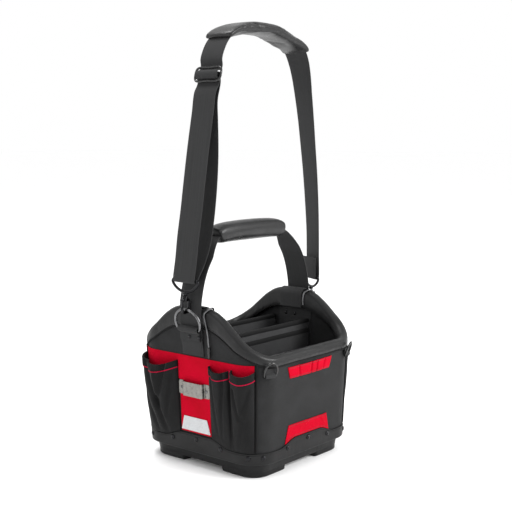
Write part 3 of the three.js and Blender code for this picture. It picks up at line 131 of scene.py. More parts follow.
class Graph:
    """Node tree of one material, with a short method for each kind of node that the finishes use."""

    def __init__(self, name: str) -> None:
        """Starts a material.

        Args:
            name: The material's name.
        """
        self.material = bpy.data.materials.new(name)
        self.material.use_nodes = True
        self.tree = self.material.node_tree
        self.shader = self.tree.nodes["Principled BSDF"]

    def node(self, kind: str, **settings: object) -> bpy.types.Node:
        """Adds a node and sets its own properties.

        Args:
            kind: The node's type.
            settings: Properties of the node by name.

        Returns:
            The new node.
        """
        made = self.tree.nodes.new(kind)
        for key, setting in settings.items():
            setattr(made, key, setting)
        return made

    def feed(self, socket: Socket, value: object) -> None:
        """Links a socket to another or sets its number or colour.

        Args:
            socket: The input to fill.
            value: A socket, a number or a tuple.
        """
        if isinstance(value, bpy.types.NodeSocket):
            self.tree.links.new(value, socket)
        else:
            socket.default_value = value

    def coordinates(self, kind: str, scale: Sequence[float] = (1.0, 1.0, 1.0)) -> Socket:
        """Gives scaled texture coordinates.

        Args:
            kind: Object or UV.
            scale: Repeats for each metre along each axis.

        Returns:
            The coordinates' socket.
        """
        source = self.node("ShaderNodeTexCoord").outputs[kind]
        mapping = self.node("ShaderNodeMapping")
        self.feed(mapping.inputs["Vector"], source)
        mapping.inputs["Scale"].default_value = scale
        return mapping.outputs["Vector"]

    def math(self, operation: str, first: Value, second: Value = 0.0) -> Socket:
        """Adds a Math node.

        Args:
            operation: The node's operation.
            first: Its first value.
            second: Its second value.

        Returns:
            The result.
        """
        made = self.node("ShaderNodeMath", operation=operation)
        self.feed(made.inputs[0], first)
        self.feed(made.inputs[1], second)
        return made.outputs[0]

    def axis(self, vector: Socket, index: int) -> Socket:
        """Gives one coordinate of a vector.

        Args:
            vector: The vector.
            index: 0 to 2 for X to Z.

        Returns:
            The coordinate.
        """
        split = self.node("ShaderNodeSeparateXYZ")
        self.feed(split.inputs[0], vector)
        return split.outputs[index]

    def noise(self, vector: Socket, scale: float, detail: float = 3.0, roughness: float = 0.55) -> Socket:
        """Gives noise from 0 to 1.

        Args:
            vector: Its coordinates.
            scale: Its scale.
            detail: How many finer layers it has.
            roughness: How strong the finer layers are.

        Returns:
            The noise value.
        """
        made = self.node("ShaderNodeTexNoise")
        self.feed(made.inputs["Vector"], vector)
        made.inputs["Scale"].default_value = scale
        made.inputs["Detail"].default_value = detail
        made.inputs["Roughness"].default_value = roughness
        return made.outputs["Fac"]

    def cells(self, vector: Socket, scale: float) -> Socket:
        """Gives the distance to the nearest of many scattered points.

        Args:
            vector: Its coordinates.
            scale: How close together the points lie.

        Returns:
            The distance.
        """
        made = self.node("ShaderNodeTexVoronoi")
        self.feed(made.inputs["Vector"], vector)
        made.inputs["Scale"].default_value = scale
        return made.outputs["Distance"]

    def spread(self, value: Socket, low: float, high: float, to_low: float, to_high: float) -> Socket:
        """Maps one range of a value to another, held at its ends.

        Args:
            value: The value to map.
            low: Its lower end.
            high: Its upper end.
            to_low: What the lower end becomes.
            to_high: What the upper end becomes.

        Returns:
            The mapped value.
        """
        made = self.node("ShaderNodeMapRange")
        self.feed(made.inputs["Value"], value)
        for key, number in (("From Min", low), ("From Max", high), ("To Min", to_low), ("To Max", to_high)):
            made.inputs[key].default_value = number
        return made.outputs["Result"]

    def blend(self, share: Socket, first: Sequence[float], second: Sequence[float]) -> Socket:
        """Mixes two colours.

        Args:
            share: How much of the second there is.
            first: Red, green and blue.
            second: Red, green and blue.

        Returns:
            The colour.
        """
        made = self.node("ShaderNodeMix", data_type="RGBA")
        self.feed(made.inputs[0], share)
        made.inputs[6].default_value = (*first, 1.0)
        made.inputs[7].default_value = (*second, 1.0)
        return made.outputs[2]

    def total(self, *parts: tuple[Socket, float]) -> Socket:
        """Adds up values, each with its weight.

        Args:
            parts: Pairs of a value and its weight.

        Returns:
            The sum.
        """
        weighed = [self.math("MULTIPLY", value, weight) for value, weight in parts]
        result = weighed[0]
        for value in weighed[1:]:
            result = self.math("ADD", result, value)
        return result

    def emboss(self, height: Socket, depth: float, strength: float = 1.0) -> None:
        """Adds a bump over those already there.

        Args:
            height: From 0 to 1.
            depth: Its depth in millimetres.
            strength: How much of it shows.
        """
        made = self.node("ShaderNodeBump")
        made.inputs["Strength"].default_value = strength
        made.inputs["Distance"].default_value = depth * MM
        self.feed(made.inputs["Height"], height)
        normal = self.shader.inputs["Normal"]
        if normal.links:
            self.feed(made.inputs["Normal"], normal.links[0].from_socket)
        self.feed(normal, made.outputs["Normal"])

    def surface(self, **values: object) -> None:
        """Fills inputs of the shader, named with underscores for spaces."""
        for key, value in values.items():
            self.feed(self.shader.inputs[key.replace("_", " ")], value)


@dataclass(frozen=True)
class Finish:
    """Name and two tones of a finish."""

    name: str
    dark: tuple[float, float, float]
    light: tuple[float, float, float]

    def colour(self, graph: Graph, tone: Socket, low: float, high: float) -> Socket:
        """Gives the colour, dark where the tone is low and light where it is high."""
        return graph.blend(graph.spread(tone, low, high, 0.0, 1.0), self.dark, self.light)


@dataclass(frozen=True)
class Weave(Finish):
    """Plain woven cloth: crossing threads, uneven dye and a soft sheen at grazing angles."""

    thread: float = 0.9
    roughness: float = 0.8
    sheen: float = 0.02
    gloss: float = 0.14
    depth: float = 0.22
    crumple: float = 0.5

    def material(self) -> bpy.types.Material:
        """Builds the finish.

        Returns:
            The material.
        """
        graph = Graph(self.name)
        turns = 2 * math.pi / (2 * self.thread * MM)
        cloth = graph.coordinates("UV", (turns, turns, 1.0))
        warp = graph.math("SINE", graph.axis(cloth, 0))
        weft = graph.math("SINE", graph.axis(cloth, 1))
        crossing = graph.spread(graph.math("MULTIPLY", warp, weft), -1.0, 1.0, 0.0, 1.0)
        body = graph.coordinates("Object")
        blotch = graph.noise(body, 28.0, 4.0)
        fuzz = graph.noise(body, 900.0, 2.0)
        tone = graph.total((blotch, 0.55), (crossing, 0.3), (fuzz, 0.25))
        graph.surface(
            Base_Color=self.colour(graph, tone, 0.35, 0.75),
            Roughness=graph.spread(blotch, 0.3, 0.7, self.roughness - 0.07, self.roughness + 0.07),
            Sheen_Weight=self.sheen,
            Sheen_Roughness=0.5,
            Specular_IOR_Level=self.gloss,
        )
        graph.emboss(graph.noise(body, 60.0, 3.0), self.crumple, 0.6)
        graph.emboss(crossing, self.depth, 0.7)
        return graph.material


@dataclass(frozen=True)
class Webbing(Finish):
    """Woven webbing: ribs along its length, picks across them and paler streaks along it."""

    rib: float = 2.2
    pick: float = 1.1
    roughness: float = 0.72

    def material(self) -> bpy.types.Material:
        """Builds the finish.

        Returns:
            The material.
        """
        graph = Graph(self.name)
        cloth = graph.coordinates("UV", (2 * math.pi / (self.pick * MM), math.pi / (self.rib * MM), 1.0))
        rib = graph.math("ABSOLUTE", graph.math("SINE", graph.axis(cloth, 1)))
        slant = graph.math("ADD", graph.axis(cloth, 0), graph.math("MULTIPLY", rib, 2.4))
        pick = graph.spread(graph.math("SINE", slant), -1.0, 1.0, 0.0, 1.0)
        height = graph.total((rib, 0.65), (pick, 0.35))
        body = graph.coordinates("Object")
        streak = graph.noise(graph.coordinates("UV", (6.0, 420.0, 1.0)), 1.0, 3.0)
        fuzz = graph.noise(body, 700.0, 2.0)
        tone = graph.total((streak, 0.6), (height, 0.25), (fuzz, 0.2))
        graph.surface(
            Base_Color=self.colour(graph, tone, 0.3, 0.8),
            Roughness=graph.spread(streak, 0.3, 0.7, self.roughness - 0.06, self.roughness + 0.08),
            Sheen_Weight=0.03,
            Sheen_Roughness=0.45,
            Specular_IOR_Level=0.16,
        )
        graph.emboss(height, 0.3, 0.8)
        return graph.material


@dataclass(frozen=True)
class CoatedSkin(Finish):
    """Coated cloth over foam: fine leather grain, soft creases and a satin shine."""

    roughness: float = 0.48
    grain: float = 620.0
    depth: float = 0.14
    crease: float = 1.2
    coat: float = 0.08
    gloss: float = 0.24

    def material(self) -> bpy.types.Material:
        """Builds the finish.

        Returns:
            The material.
        """
        graph = Graph(self.name)
        body = graph.coordinates("Object")
        pebble = graph.cells(body, self.grain)
        crease = graph.noise(body, 42.0, 4.0, 0.6)
        blotch = graph.noise(body, 17.0, 3.0)
        tone = graph.total((blotch, 0.7), (pebble, 0.3))
        graph.surface(
            Base_Color=self.colour(graph, tone, 0.3, 0.75),
            Roughness=graph.spread(crease, 0.3, 0.7, self.roughness - 0.08, self.roughness + 0.1),
            Coat_Weight=self.coat,
            Coat_Roughness=0.35,
            Specular_IOR_Level=self.gloss,
        )
        graph.emboss(crease, self.crease, 0.4)
        graph.emboss(pebble, self.depth, 0.7)
        return graph.material


@dataclass(frozen=True)
class Moulding(Finish):
    """Moulded plastic: a fine spark grain, faint flow marks and paler, rougher scuffs."""

    roughness: float = 0.5
    grain: float = 1100.0
    depth: float = 0.06
    gloss: float = 0.2

    def material(self) -> bpy.types.Material:
        """Builds the finish.

        Returns:
            The material.
        """
        graph = Graph(self.name)
        body = graph.coordinates("Object")
        spark = graph.noise(body, self.grain, 2.0)
        flow = graph.noise(graph.coordinates("Object", (1.0, 1.0, 3.0)), 14.0, 4.0)
        scuff = graph.noise(graph.coordinates("Object", (240.0, 240.0, 30.0)), 1.0, 5.0, 0.7)
        tone = graph.total((flow, 0.7), (scuff, 0.3))
        graph.surface(
            Base_Color=self.colour(graph, tone, 0.35, 0.75),
            Roughness=graph.spread(scuff, 0.35, 0.7, self.roughness - 0.06, self.roughness + 0.12),
            Specular_IOR_Level=self.gloss,
        )
        graph.emboss(spark, self.depth, 0.8)
        return graph.material


@dataclass(frozen=True)
class Metal(Finish):
    """Plated or brushed metal with fine draw marks and duller worn patches."""

    roughness: float = 0.3
    metallic: float = 1.0

    def material(self) -> bpy.types.Material:
        """Builds the finish.

        Returns:
            The material.
        """
        graph = Graph(self.name)
        draw = graph.noise(graph.coordinates("Object", (60.0, 2200.0, 60.0)), 1.0, 3.0)
        worn = graph.noise(graph.coordinates("Object"), 120.0, 4.0, 0.65)
        tone = graph.total((draw, 0.5), (worn, 0.5))
        graph.surface(
            Base_Color=self.colour(graph, tone, 0.3, 0.7),
            Roughness=graph.spread(worn, 0.3, 0.7, self.roughness - 0.08, self.roughness + 0.14),
            Metallic=self.metallic,
        )
        graph.emboss(draw, 0.02, 0.6)
        return graph.material


@dataclass(frozen=True)
class Reflector(Finish):
    """Reflective tape: pale, satin, with a fine honeycomb of sealed cells."""

    def material(self) -> bpy.types.Material:
        """Builds the finish.

        Returns:
            The material.
        """
        graph = Graph(self.name)
        body = graph.coordinates("Object")
        comb = graph.spread(graph.cells(body, 480.0), 0.0, 0.6, 0.0, 1.0)
        cloud = graph.noise(body, 40.0, 3.0)
        tone = graph.total((comb, 0.4), (cloud, 0.6))
        graph.surface(
            Base_Color=self.colour(graph, tone, 0.2, 0.7),
            Roughness=graph.spread(cloud, 0.3, 0.7, 0.35, 0.5),
            Coat_Weight=0.3,
            Coat_Roughness=0.3,
        )
        graph.emboss(comb, 0.05, 0.6)
        return graph.material


def grey(dark: float, light: float) -> dict[str, tuple[float, float, float]]:
    """Gives the two tones of a near black finish, a little cool in the light one."""
    return {"dark": (dark, dark, dark * 1.02), "light": (light, light * 1.01, light * 1.04)}


FINISHES = {
    "base_plastic": Moulding("base_plastic", **grey(0.004, 0.012), roughness=0.46),
    "black_fabric": Weave("black_fabric", **grey(0.009, 0.026), thread=0.8),
    "pocket_fabric": Weave("pocket_fabric", **grey(0.004, 0.012), thread=0.7, roughness=0.62, gloss=0.1,
                           crumple=1.2),
    "binding": Weave("binding", **grey(0.003, 0.009), thread=0.6, crumple=0.3),
    # Lining: the black cloth painted lighter, as painted fill light for the inside of the tote.
    "lining_painted_fill": Weave("lining_painted_fill", **grey(0.018, 0.038), thread=0.8, crumple=0.8),
    "padded_fabric": CoatedSkin("padded_fabric", **grey(0.005, 0.014), roughness=0.36, grain=900.0,
                                crease=0.5, coat=0.02, gloss=0.22),
    # Divider cloth: the padded cloth painted lighter, as painted fill light for the inside of the tote.
    "divider_painted_fill": Weave("divider_painted_fill", **grey(0.026, 0.052), thread=0.7, roughness=0.7),
    "red_fabric": Weave("red_fabric", (0.34, 0.0006, 0.008), (0.5, 0.002, 0.02), thread=0.7, sheen=0.0,
                        gloss=0.04, crumple=0.6),
    "red_piping": Weave("red_piping", (0.32, 0.001, 0.02), (0.46, 0.006, 0.045), thread=0.4, sheen=0.0,
                        gloss=0.08, crumple=0.2),
    "webbing": Webbing("webbing", **grey(0.014, 0.034)),
    "grip_leather": CoatedSkin("grip_leather", **grey(0.007, 0.018), roughness=0.34, coat=0.03, gloss=0.26),
    "reflective_tape": Reflector("reflective_tape", (0.3, 0.31, 0.32), (0.48, 0.49, 0.5)),
    "steel": Metal("steel", (0.05, 0.05, 0.052), (0.2, 0.2, 0.205), roughness=0.2),
    "dark_metal": Metal("dark_metal", (0.01, 0.01, 0.011), (0.035, 0.035, 0.037), roughness=0.2),
    "clip_steel": Metal("clip_steel", (0.1, 0.097, 0.09), (0.3, 0.29, 0.27), roughness=0.3),
    "black_plastic": Moulding("black_plastic", **grey(0.003, 0.009), roughness=0.22, grain=700.0, gloss=0.5),
    "thread": Weave("thread", **grey(0.03, 0.07), thread=0.3, crumple=0.1),
}


class Palette:
    """Builds each finish once."""

    def __init__(self) -> None:
        """Starts with no finish built."""
        self.built: dict[str, bpy.types.Material] = {}

    def get(self, name: str) -> bpy.types.Material:
        """Gives a finish's material by name."""
        if name not in self.built:
            self.built[name] = FINISHES[name].material()
        return self.built[name]


# Meshes


class Skin:
    """Faces of a piece while it is built, in millimetres, with cloth lengths in metres as its UVs."""

    def __init__(self) -> None:
        """Starts empty."""
        self.points: list[Array] = []
        self.faces: list[tuple[int, ...]] = []
        self.uvs: list[tuple[float, float]] = []
        self.count = 0

    def grid(self, points: Array, along: Sequence[float], across: Sequence[float],
             loop_rows: bool = False, loop_columns: bool = False) -> None:
        """Adds a grid of quads.

        Args:
            points: Rows by columns by three coordinates.
            along: Cloth length at each row, with one more where the rows close.
            across: Cloth length at each column, with one more where the columns close.
            loop_rows: Joins the last row to the first.
            loop_columns: Joins the last column to the first.
        """
        rows, columns = points.shape[:2]
        base = self.count
        self.points.append(points.reshape(-1, 3))
        self.count += rows * columns
        for i in range(rows if loop_rows else rows - 1):
            low = base + i * columns
            high = base + ((i + 1) % rows) * columns
            u, v = along[i] * MM, along[i + 1] * MM
            for j in range(columns if loop_columns else columns - 1):
                right = (j + 1) % columns
                s, t = across[j] * MM, across[j + 1] * MM
                self.faces.append((low + j, high + j, high + right, low + right))
                self.uvs.extend(((u, s), (v, s), (v, t), (u, t)))

    def disc(self, ring: Array) -> None:
        """Closes a ring with a fan round its middle.

        Args:
            ring: The ring's points.
        """
        base = self.count
        count = len(ring)
        hub = ring.mean(axis=0)
        self.points.append(np.vstack([ring, hub]))
        self.count += count + 1
        reach = np.linalg.norm(ring - hub, axis=1) * MM
        for j in range(count):
            right = (j + 1) % count
            self.faces.append((base + j, base + right, base + count))
            turn, ahead = 2 * math.pi * j / count, 2 * math.pi * (j + 1) / count
            self.uvs.extend((
                (reach[j] * math.cos(turn), reach[j] * math.sin(turn)),
                (reach[right] * math.cos(ahead), reach[right] * math.sin(ahead)),
                (0.0, 0.0),
            ))

    def form(self, rings: Array, along: Sequence[float], across: Sequence[float]) -> None:
        """Adds a closed form of rings, with a disc at each end.

        Args:
            rings: Rings by points by three coordinates.
            along: Cloth length at each ring.
            across: Cloth length at each point of a ring, with one more where it closes.
        """
        self.grid(rings, along, across, loop_columns=True)
        self.disc(rings[0])
        self.disc(rings[-1])

    def sheet(self, outer: Array, inner: Array, along: Sequence[float], across: Sequence[float]) -> None:
        """Adds a closed sheet between two grids of equal shape.

        Args:
            outer: The outer grid.
            inner: The inner grid.
            along: Cloth length at each row.
            across: Cloth length at each column.
        """
        wall = [0.0, float(np.linalg.norm(outer[0, 0] - inner[0, 0]))]
        self.grid(outer, along, across)
        self.grid(inner[::-1], along[::-1], across)
        for end in (0, -1):
            self.grid(np.stack([outer[end], inner[end]]), wall, across)
            self.grid(np.stack([outer[:, end], inner[:, end]]), wall, along)

    def tube(self, path: Array, radius: Value, sides: int = 12, loop: bool = False,
             flat: float = 1.0, lead: Sequence[float] = (0.0, 0.0, 1.0)) -> None:
        """Adds a round or flattened tube along a path.

        Args:
            path: Points of its middle line.
            radius: Its radius, one number or one for each point.
            sides: How many sides it has.
            loop: Joins its end to its start.
            flat: Its height as a share of its width.
            lead: A direction that its first section's height leans to.
        """
        count = len(path)
        radii = np.broadcast_to(radius, (count,))
        ahead = np.roll(path, -1, axis=0)
        behind = np.roll(path, 1, axis=0)
        if not loop:
            ahead[-1] = path[-1]
            behind[0] = path[0]
        tangents = ahead - behind
        tangents /= np.linalg.norm(tangents, axis=1)[:, None]
        normal = np.array(lead, dtype=float)
        normals = []
        for tangent in tangents:
            normal = normal - tangent * normal.dot(tangent)
            if np.linalg.norm(normal) < 1e-6:
                normal = np.cross(tangent, (0.3, 0.9, 0.1))
            normal = normal / np.linalg.norm(normal)
            normals.append(normal)
        normals = np.array(normals)
        binormals = np.cross(tangents, normals)
        twist = 0.0
        if loop:
            carried = normals[-1] - tangents[0] * normals[-1].dot(tangents[0])
            twist = math.atan2(carried.dot(binormals[0]), carried.dot(normals[0]))
        rings = []
        for i in range(count):
            turns = np.arange(sides) * 2 * math.pi / sides - twist * i / count
            rings.append(path[i] + radii[i] * (
                np.cos(turns)[:, None] * normals[i] * flat + np.sin(turns)[:, None] * binormals[i]))
        rings = np.array(rings)
        steps = np.linalg.norm(np.diff(np.vstack([path, path[:1]]), axis=0), axis=1)
        along = np.concatenate([[0.0], np.cumsum(steps)])
        around = np.arange(sides + 1) * 2 * math.pi * float(np.mean(radii)) / sides
        self.grid(rings, along, around, loop_rows=loop, loop_columns=True)
        if not loop:
            self.disc(rings[0])
            self.disc(rings[-1])

    def lathe(self, profile: Sequence[tuple[float, float]], sides: int, place: Matrix) -> None:
        """Adds a round solid.

        Args:
            profile: Radius and height pairs from one pole to the other.
            sides: How many sides it has.
            place: Where its axis stands.
        """
        turns = np.arange(sides) * 2 * math.pi / sides
        rings = np.array([[(r * math.cos(t), r * math.sin(t), h) for t in turns] for r, h in profile])
        rings = moved(rings.reshape(-1, 3), place).reshape(rings.shape)
        steps = [math.dist(a, b) for a, b in zip(profile, profile[1:])]
        along = np.concatenate([[0.0], np.cumsum(steps)])
        across = np.arange(sides + 1) * 2 * math.pi * max(r for r, _ in profile) / sides
        self.grid(rings, along, across, loop_columns=True)
        for end in (0, -1):
            if profile[end][0] > 0:
                self.disc(rings[end])


def moved(points: Array, place: Matrix) -> Array:
    """Moves points by a matrix."""
    matrix = np.array(place)
    return points @ matrix[:3, :3].T + matrix[:3, 3]


def lengths(points: Array) -> Array:
    """Gives the length run at each point of a line."""
    return np.concatenate([[0.0], np.cumsum(np.linalg.norm(np.diff(points, axis=0), axis=1))])


def ease_down(value: float, start: float, end: float) -> float:
    """Steps smoothly from 1 at the start to 0 at the end."""
    share = min(max((value - start) / (end - start), 0.0), 1.0)
    return (1 + math.cos(math.pi * share)) / 2


@dataclass
class Bench:
    """Turns skins into finished pieces, each riding on a body."""

    origin: Array
    palette: Palette = field(default_factory=Palette)

    def mesh(self, name: str, skin: Skin) -> bpy.types.Object:
        """Makes a closed mesh of a skin.

        Args:
            name: The piece's name.
            skin: Its faces.

        Returns:
            The object, at the origin.
        """
        points = np.vstack(skin.points) * MM + self.origin
        data = bpy.data.meshes.new(name)
        data.from_pydata(points.tolist(), [], skin.faces)
        layer = data.uv_layers.new(name="UVMap")
        layer.data.foreach_set("uv", np.array(skin.uvs, dtype=np.float32).ravel())
        work = bmesh.new()
        work.from_mesh(data)
        bmesh.ops.remove_doubles(work, verts=work.verts, dist=2e-6)
        bmesh.ops.dissolve_degenerate(work, edges=work.edges, dist=1e-7)
        bmesh.ops.recalc_face_normals(work, faces=work.faces)
        work.to_mesh(data)
        work.free()
        made = bpy.data.objects.new(name, data)
        bpy.context.scene.collection.objects.link(made)
        return made

    def finish(self, made: bpy.types.Object, finish: str, slot: str = "", body: str = "root",
               replaces: Sequence[str] = (), crease: float = 40.0) -> bpy.types.Object:
        """Gives a mesh its material, shading and body.

        Args:
            made: The piece.
            finish: The name of its finish.
            slot: The record's material slot, where its name isn't the finish's; not used.
            body: The body that it rides on.
            replaces: CAD nodes that it stands for.
            crease: The angle past which an edge is sharp.

        Returns:
            The piece.
        """
        made.data.materials.clear()
        made.data.materials.append(self.palette.get(finish))
        shade(made.data, crease)
        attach(made, body)
        slot or finish
        if replaces:
            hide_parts(*replaces)
        LOG.info("%s: %d faces", made.name, len(made.data.polygons))
        return made

    def piece(self, name: str, skin: Skin, finish: str, slot: str = "", body: str = "root",
              replaces: Sequence[str] = (), crease: float = 40.0) -> bpy.types.Object:
        """Makes and finishes a piece in one step, with finish's arguments."""
        return self.finish(self.mesh(name, skin), finish, slot, body, replaces, crease)

    def baked(self, made: bpy.types.Object) -> bpy.types.Object:
        """Turns an object with modifiers into a plain mesh at the origin.

        Args:
            made: The object, which goes.

        Returns:
            The plain object.
        """
        graph = bpy.context.evaluated_depsgraph_get()
        data = bpy.data.meshes.new_from_object(made.evaluated_get(graph))
        name = made.name
        old = made.data
        bpy.data.objects.remove(made)
        if isinstance(old, bpy.types.Mesh):
            bpy.data.meshes.remove(old)
        data.name = name
        plain = bpy.data.objects.new(name, data)
        bpy.context.scene.collection.objects.link(plain)
        return plain


def shade(data: bpy.types.Mesh, crease: float) -> None:
    """Shades a mesh smooth, with edges past an angle sharp.

    Args:
        data: The mesh.
        crease: The angle in degrees.
    """
    work = bmesh.new()
    work.from_mesh(data)
    limit = math.radians(crease)
    for face in work.faces:
        face.smooth = True
    for edge in work.edges:
        edge.smooth = len(edge.link_faces) == 2 and edge.calc_face_angle(0.0) < limit
    work.to_mesh(data)
    work.free()


# Repeated pieces


class Repeat:
    """Geometry Nodes tree that repeats a small solid, ending in plain meshes with a material."""

    def __init__(self, name: str, inputs: dict[str, float], material: bpy.types.Material) -> None:
        """Starts a tree.

        Args:
            name: The tree's name.
            inputs: Its named inputs with their plain values.
            material: The material of what it repeats.
        """
        self.group = bpy.data.node_groups.new(name, "GeometryNodeTree")
        face = self.group.interface
        face.new_socket("Geometry", in_out="INPUT", socket_type="NodeSocketGeometry")
        self.sockets = {}
        for key, plain in inputs.items():
            socket = face.new_socket(key, in_out="INPUT", socket_type="NodeSocketFloat")
            socket.default_value = plain
            self.sockets[key] = socket.identifier
        face.new_socket("Geometry", in_out="OUTPUT", socket_type="NodeSocketGeometry")
        self.source = self.group.nodes.new("NodeGroupInput")
        self.material = material

    def node(self, kind: str, feeds: dict[str, object], **settings: object) -> bpy.types.Node:
        """Adds a node.

        Args:
            kind: The node's type.
            feeds: Sockets or values for its inputs, by name.
            settings: Properties of the node.

        Returns:
            The new node.
        """
        made = self.group.nodes.new(kind)
        for key, setting in settings.items():
            setattr(made, key, setting)
        for key, value in feeds.items():
            if isinstance(value, bpy.types.NodeSocket):
                self.group.links.new(value, made.inputs[key])
            else:
                made.inputs[key].default_value = value
        return made

    def end(self, instances: Socket) -> None:
        """Realizes the instances and gives them their material.

        Args:
            instances: The instances.
        """
        real = self.node("GeometryNodeRealizeInstances", {"Geometry": instances})
        dressed = self.node("GeometryNodeSetMaterial", {
            "Geometry": real.outputs[0], "Material": self.material})
        out = self.group.nodes.new("NodeGroupOutput")
        self.group.links.new(dressed.outputs[0], out.inputs[0])

    def run(self, bench: Bench, name: str, data: bpy.types.Mesh, **values: float) -> bpy.types.Object:
        """Repeats the solid over a mesh.

        Args:
            bench: The bench.
            name: The piece's name.
            data: The mesh that it repeats over.
            values: Values of the named inputs, with underscores for spaces.

        Returns:
            The plain mesh.
        """
        made = bpy.data.objects.new(name, data)
        bpy.context.scene.collection.objects.link(made)
        modifier = made.modifiers.new("repeat", "NODES")
        modifier.node_group = self.group
        for key, value in values.items():
            modifier[self.sockets[key.replace("_", " ")]] = value
        return bench.baked(made)


class StitchTree(Repeat):
    """Stitches along lines."""

    def __init__(self, material: bpy.types.Material) -> None:
        """Builds the tree.

        Args:
            material: The thread's material.
        """
        plain = {"Pitch": 0.004, "Stitch Length": 0.003, "Thread Radius": 0.0004}
        super().__init__("stitches", plain, material)
        sizes = self.source.outputs
        line = self.node("GeometryNodeMeshToCurve", {"Mesh": sizes["Geometry"]})
        points = self.node("GeometryNodeResampleCurve", {"Curve": line.outputs[0]}, mode="LENGTH")
        self.group.links.new(sizes["Pitch"], points.inputs["Length"])
        thread = self.node("GeometryNodeMeshIcoSphere", {"Radius": 0.5, "Subdivisions": 2})
        tangent = self.node("GeometryNodeInputTangent", {})
        aimed = self.node("FunctionNodeAlignRotationToVector", {"Vector": tangent.outputs[0]}, axis="X")
        wide = self.node("ShaderNodeMath", {0: sizes["Thread Radius"], 1: 2.0}, operation="MULTIPLY")
        scale = self.node("ShaderNodeCombineXYZ", {
            "X": sizes["Stitch Length"], "Y": wide.outputs[0], "Z": wide.outputs[0]})
        laid = self.node("GeometryNodeInstanceOnPoints", {
            "Points": points.outputs[0],
            "Instance": thread.outputs["Mesh"],
            "Rotation": aimed.outputs[0],
            "Scale": scale.outputs[0],
        })
        self.end(laid.outputs[0])


class StudTree(Repeat):
    """Domed rivet heads that stand on points, along the points' facing attribute."""

    def __init__(self, material: bpy.types.Material) -> None:
        """Builds the tree.

        Args:
            material: The heads' material.
        """
        super().__init__("studs", {"Radius": 0.004, "Height": 0.002}, material)
        sizes = self.source.outputs
        points = self.node("GeometryNodeMeshToPoints", {"Mesh": sizes["Geometry"]})
        dome = self.node("GeometryNodeMeshUVSphere", {"Segments": 28, "Rings": 14, "Radius": 1.0})
        facing = self.node("GeometryNodeInputNamedAttribute", {"Name": "facing"}, data_type="FLOAT_VECTOR")
        aimed = self.node("FunctionNodeAlignRotationToVector", {"Vector": facing.outputs[0]}, axis="Z")
        scale = self.node("ShaderNodeCombineXYZ", {
            "X": sizes["Radius"], "Y": sizes["Radius"], "Z": sizes["Height"]})
        laid = self.node("GeometryNodeInstanceOnPoints", {
            "Points": points.outputs[0],
            "Instance": dome.outputs["Mesh"],
            "Rotation": aimed.outputs[0],
            "Scale": scale.outputs[0],
        })
        self.end(laid.outputs[0])


@dataclass
class Sewing:
    """Stitches and rivets on the bench."""

    bench: Bench

    def stitches(self, name: str, lines: Sequence[Array], slot: str, pitch: float = 4.0) -> None:
        """Sews lines of stitches.

        Args:
            name: The piece's name.
            lines: Each line's points in millimetres.
            slot: The record's material slot.
            pitch: From one stitch to the next.
        """
        data = bpy.data.meshes.new(name)
        points = np.vstack(lines) * MM + self.bench.origin
        edges, start = [], 0
        for line in lines:
            edges.extend((start + i, start + i + 1) for i in range(len(line) - 1))
            start += len(line)
        data.from_pydata(points.tolist(), edges, [])
        tree = StitchTree(self.bench.palette.get("thread"))
        made = tree.run(self.bench, name, data, Pitch=pitch * MM, Stitch_Length=0.72 * pitch * MM,
                        Thread_Radius=0.42 * MM)
        self.bench.finish(made, "thread", slot)

    def rivets(self, name: str, seats: Sequence[Matrix], finish: str, slot: str, radius: float,
               height: float, body: str = "root", replaces: Sequence[str] = ()) -> bpy.types.Object:
        """Sets rivet heads.

        Args:
            name: The piece's name.
            seats: Where each head sits, along the seat's Z axis.
            finish: The finish.
            slot: The record's material slot.
            radius: The head's radius.
            height: The head's height.
            body: The body that they ride on.
            replaces: CAD nodes that they stand for.

        Returns:
            The piece.
        """
        data = bpy.data.meshes.new(name)
        points = [(np.array(seat.translation) * MM + self.bench.origin).tolist() for seat in seats]
        data.from_pydata(points, [], [])
        facing = data.attributes.new("facing", "FLOAT_VECTOR", "POINT")
        facing.data.foreach_set("vector", np.array([seat.col[2][:3] for seat in seats]).ravel())
        tree = StudTree(self.bench.palette.get(finish))
        made = tree.run(self.bench, name, data, Radius=radius * MM, Height=height * MM)
        return self.bench.finish(made, finish, slot, body, replaces)


@dataclass(frozen=True)
class Puff:
    """Cloth simulation that fills a padded cover and lets its extra cloth wrinkle."""

    voxel: float = 4.5
    pressure: float = 4.0
    extra: float = 0.04
    cap: float = 5.0
    frames: int = 20

    def fill(self, bench: Bench, made: bpy.types.Object) -> bpy.types.Object:
        """Simulates a piece.

        Args:
            bench: The bench.
            made: The piece before its finish.

        Returns:
            The filled piece.
        """
        remesh = made.modifiers.new("remesh", "REMESH")
        remesh.mode = "VOXEL"
        remesh.voxel_size = self.voxel * MM
        made = bench.baked(made)
        rest = positions(made.data)
        cloth = made.modifiers.new("cloth", "CLOTH")
        cloth.settings.use_pressure = True
        cloth.settings.uniform_pressure_force = self.pressure
        cloth.settings.shrink_min = -self.extra
        cloth.settings.effector_weights.gravity = 0.0
        cloth.settings.quality = 6
        cloth.point_cache.frame_start = 1
        cloth.point_cache.frame_end = self.frames
        scene = bpy.context.scene
        for frame in range(1, self.frames + 1):
            scene.frame_set(frame)
        graph = bpy.context.evaluated_depsgraph_get()
        moved_to = positions(made.evaluated_get(graph).data)
        scene.frame_set(1)
        made.modifiers.remove(cloth)
        step = moved_to - rest
        reach = np.linalg.norm(step, axis=1)
        limit = self.cap * MM
        kept = limit * np.tanh(reach / limit)
        step *= (kept / np.maximum(reach, 1e-9))[:, None]
        made.data.vertices.foreach_set("co", (rest + step).ravel())
        smooth = made.modifiers.new("smooth", "SUBSURF")
        smooth.levels = smooth.render_levels = 1
        LOG.info("%s: cloth moved up to %.1f mm", made.name, kept.max() / MM)
        return bench.baked(made)


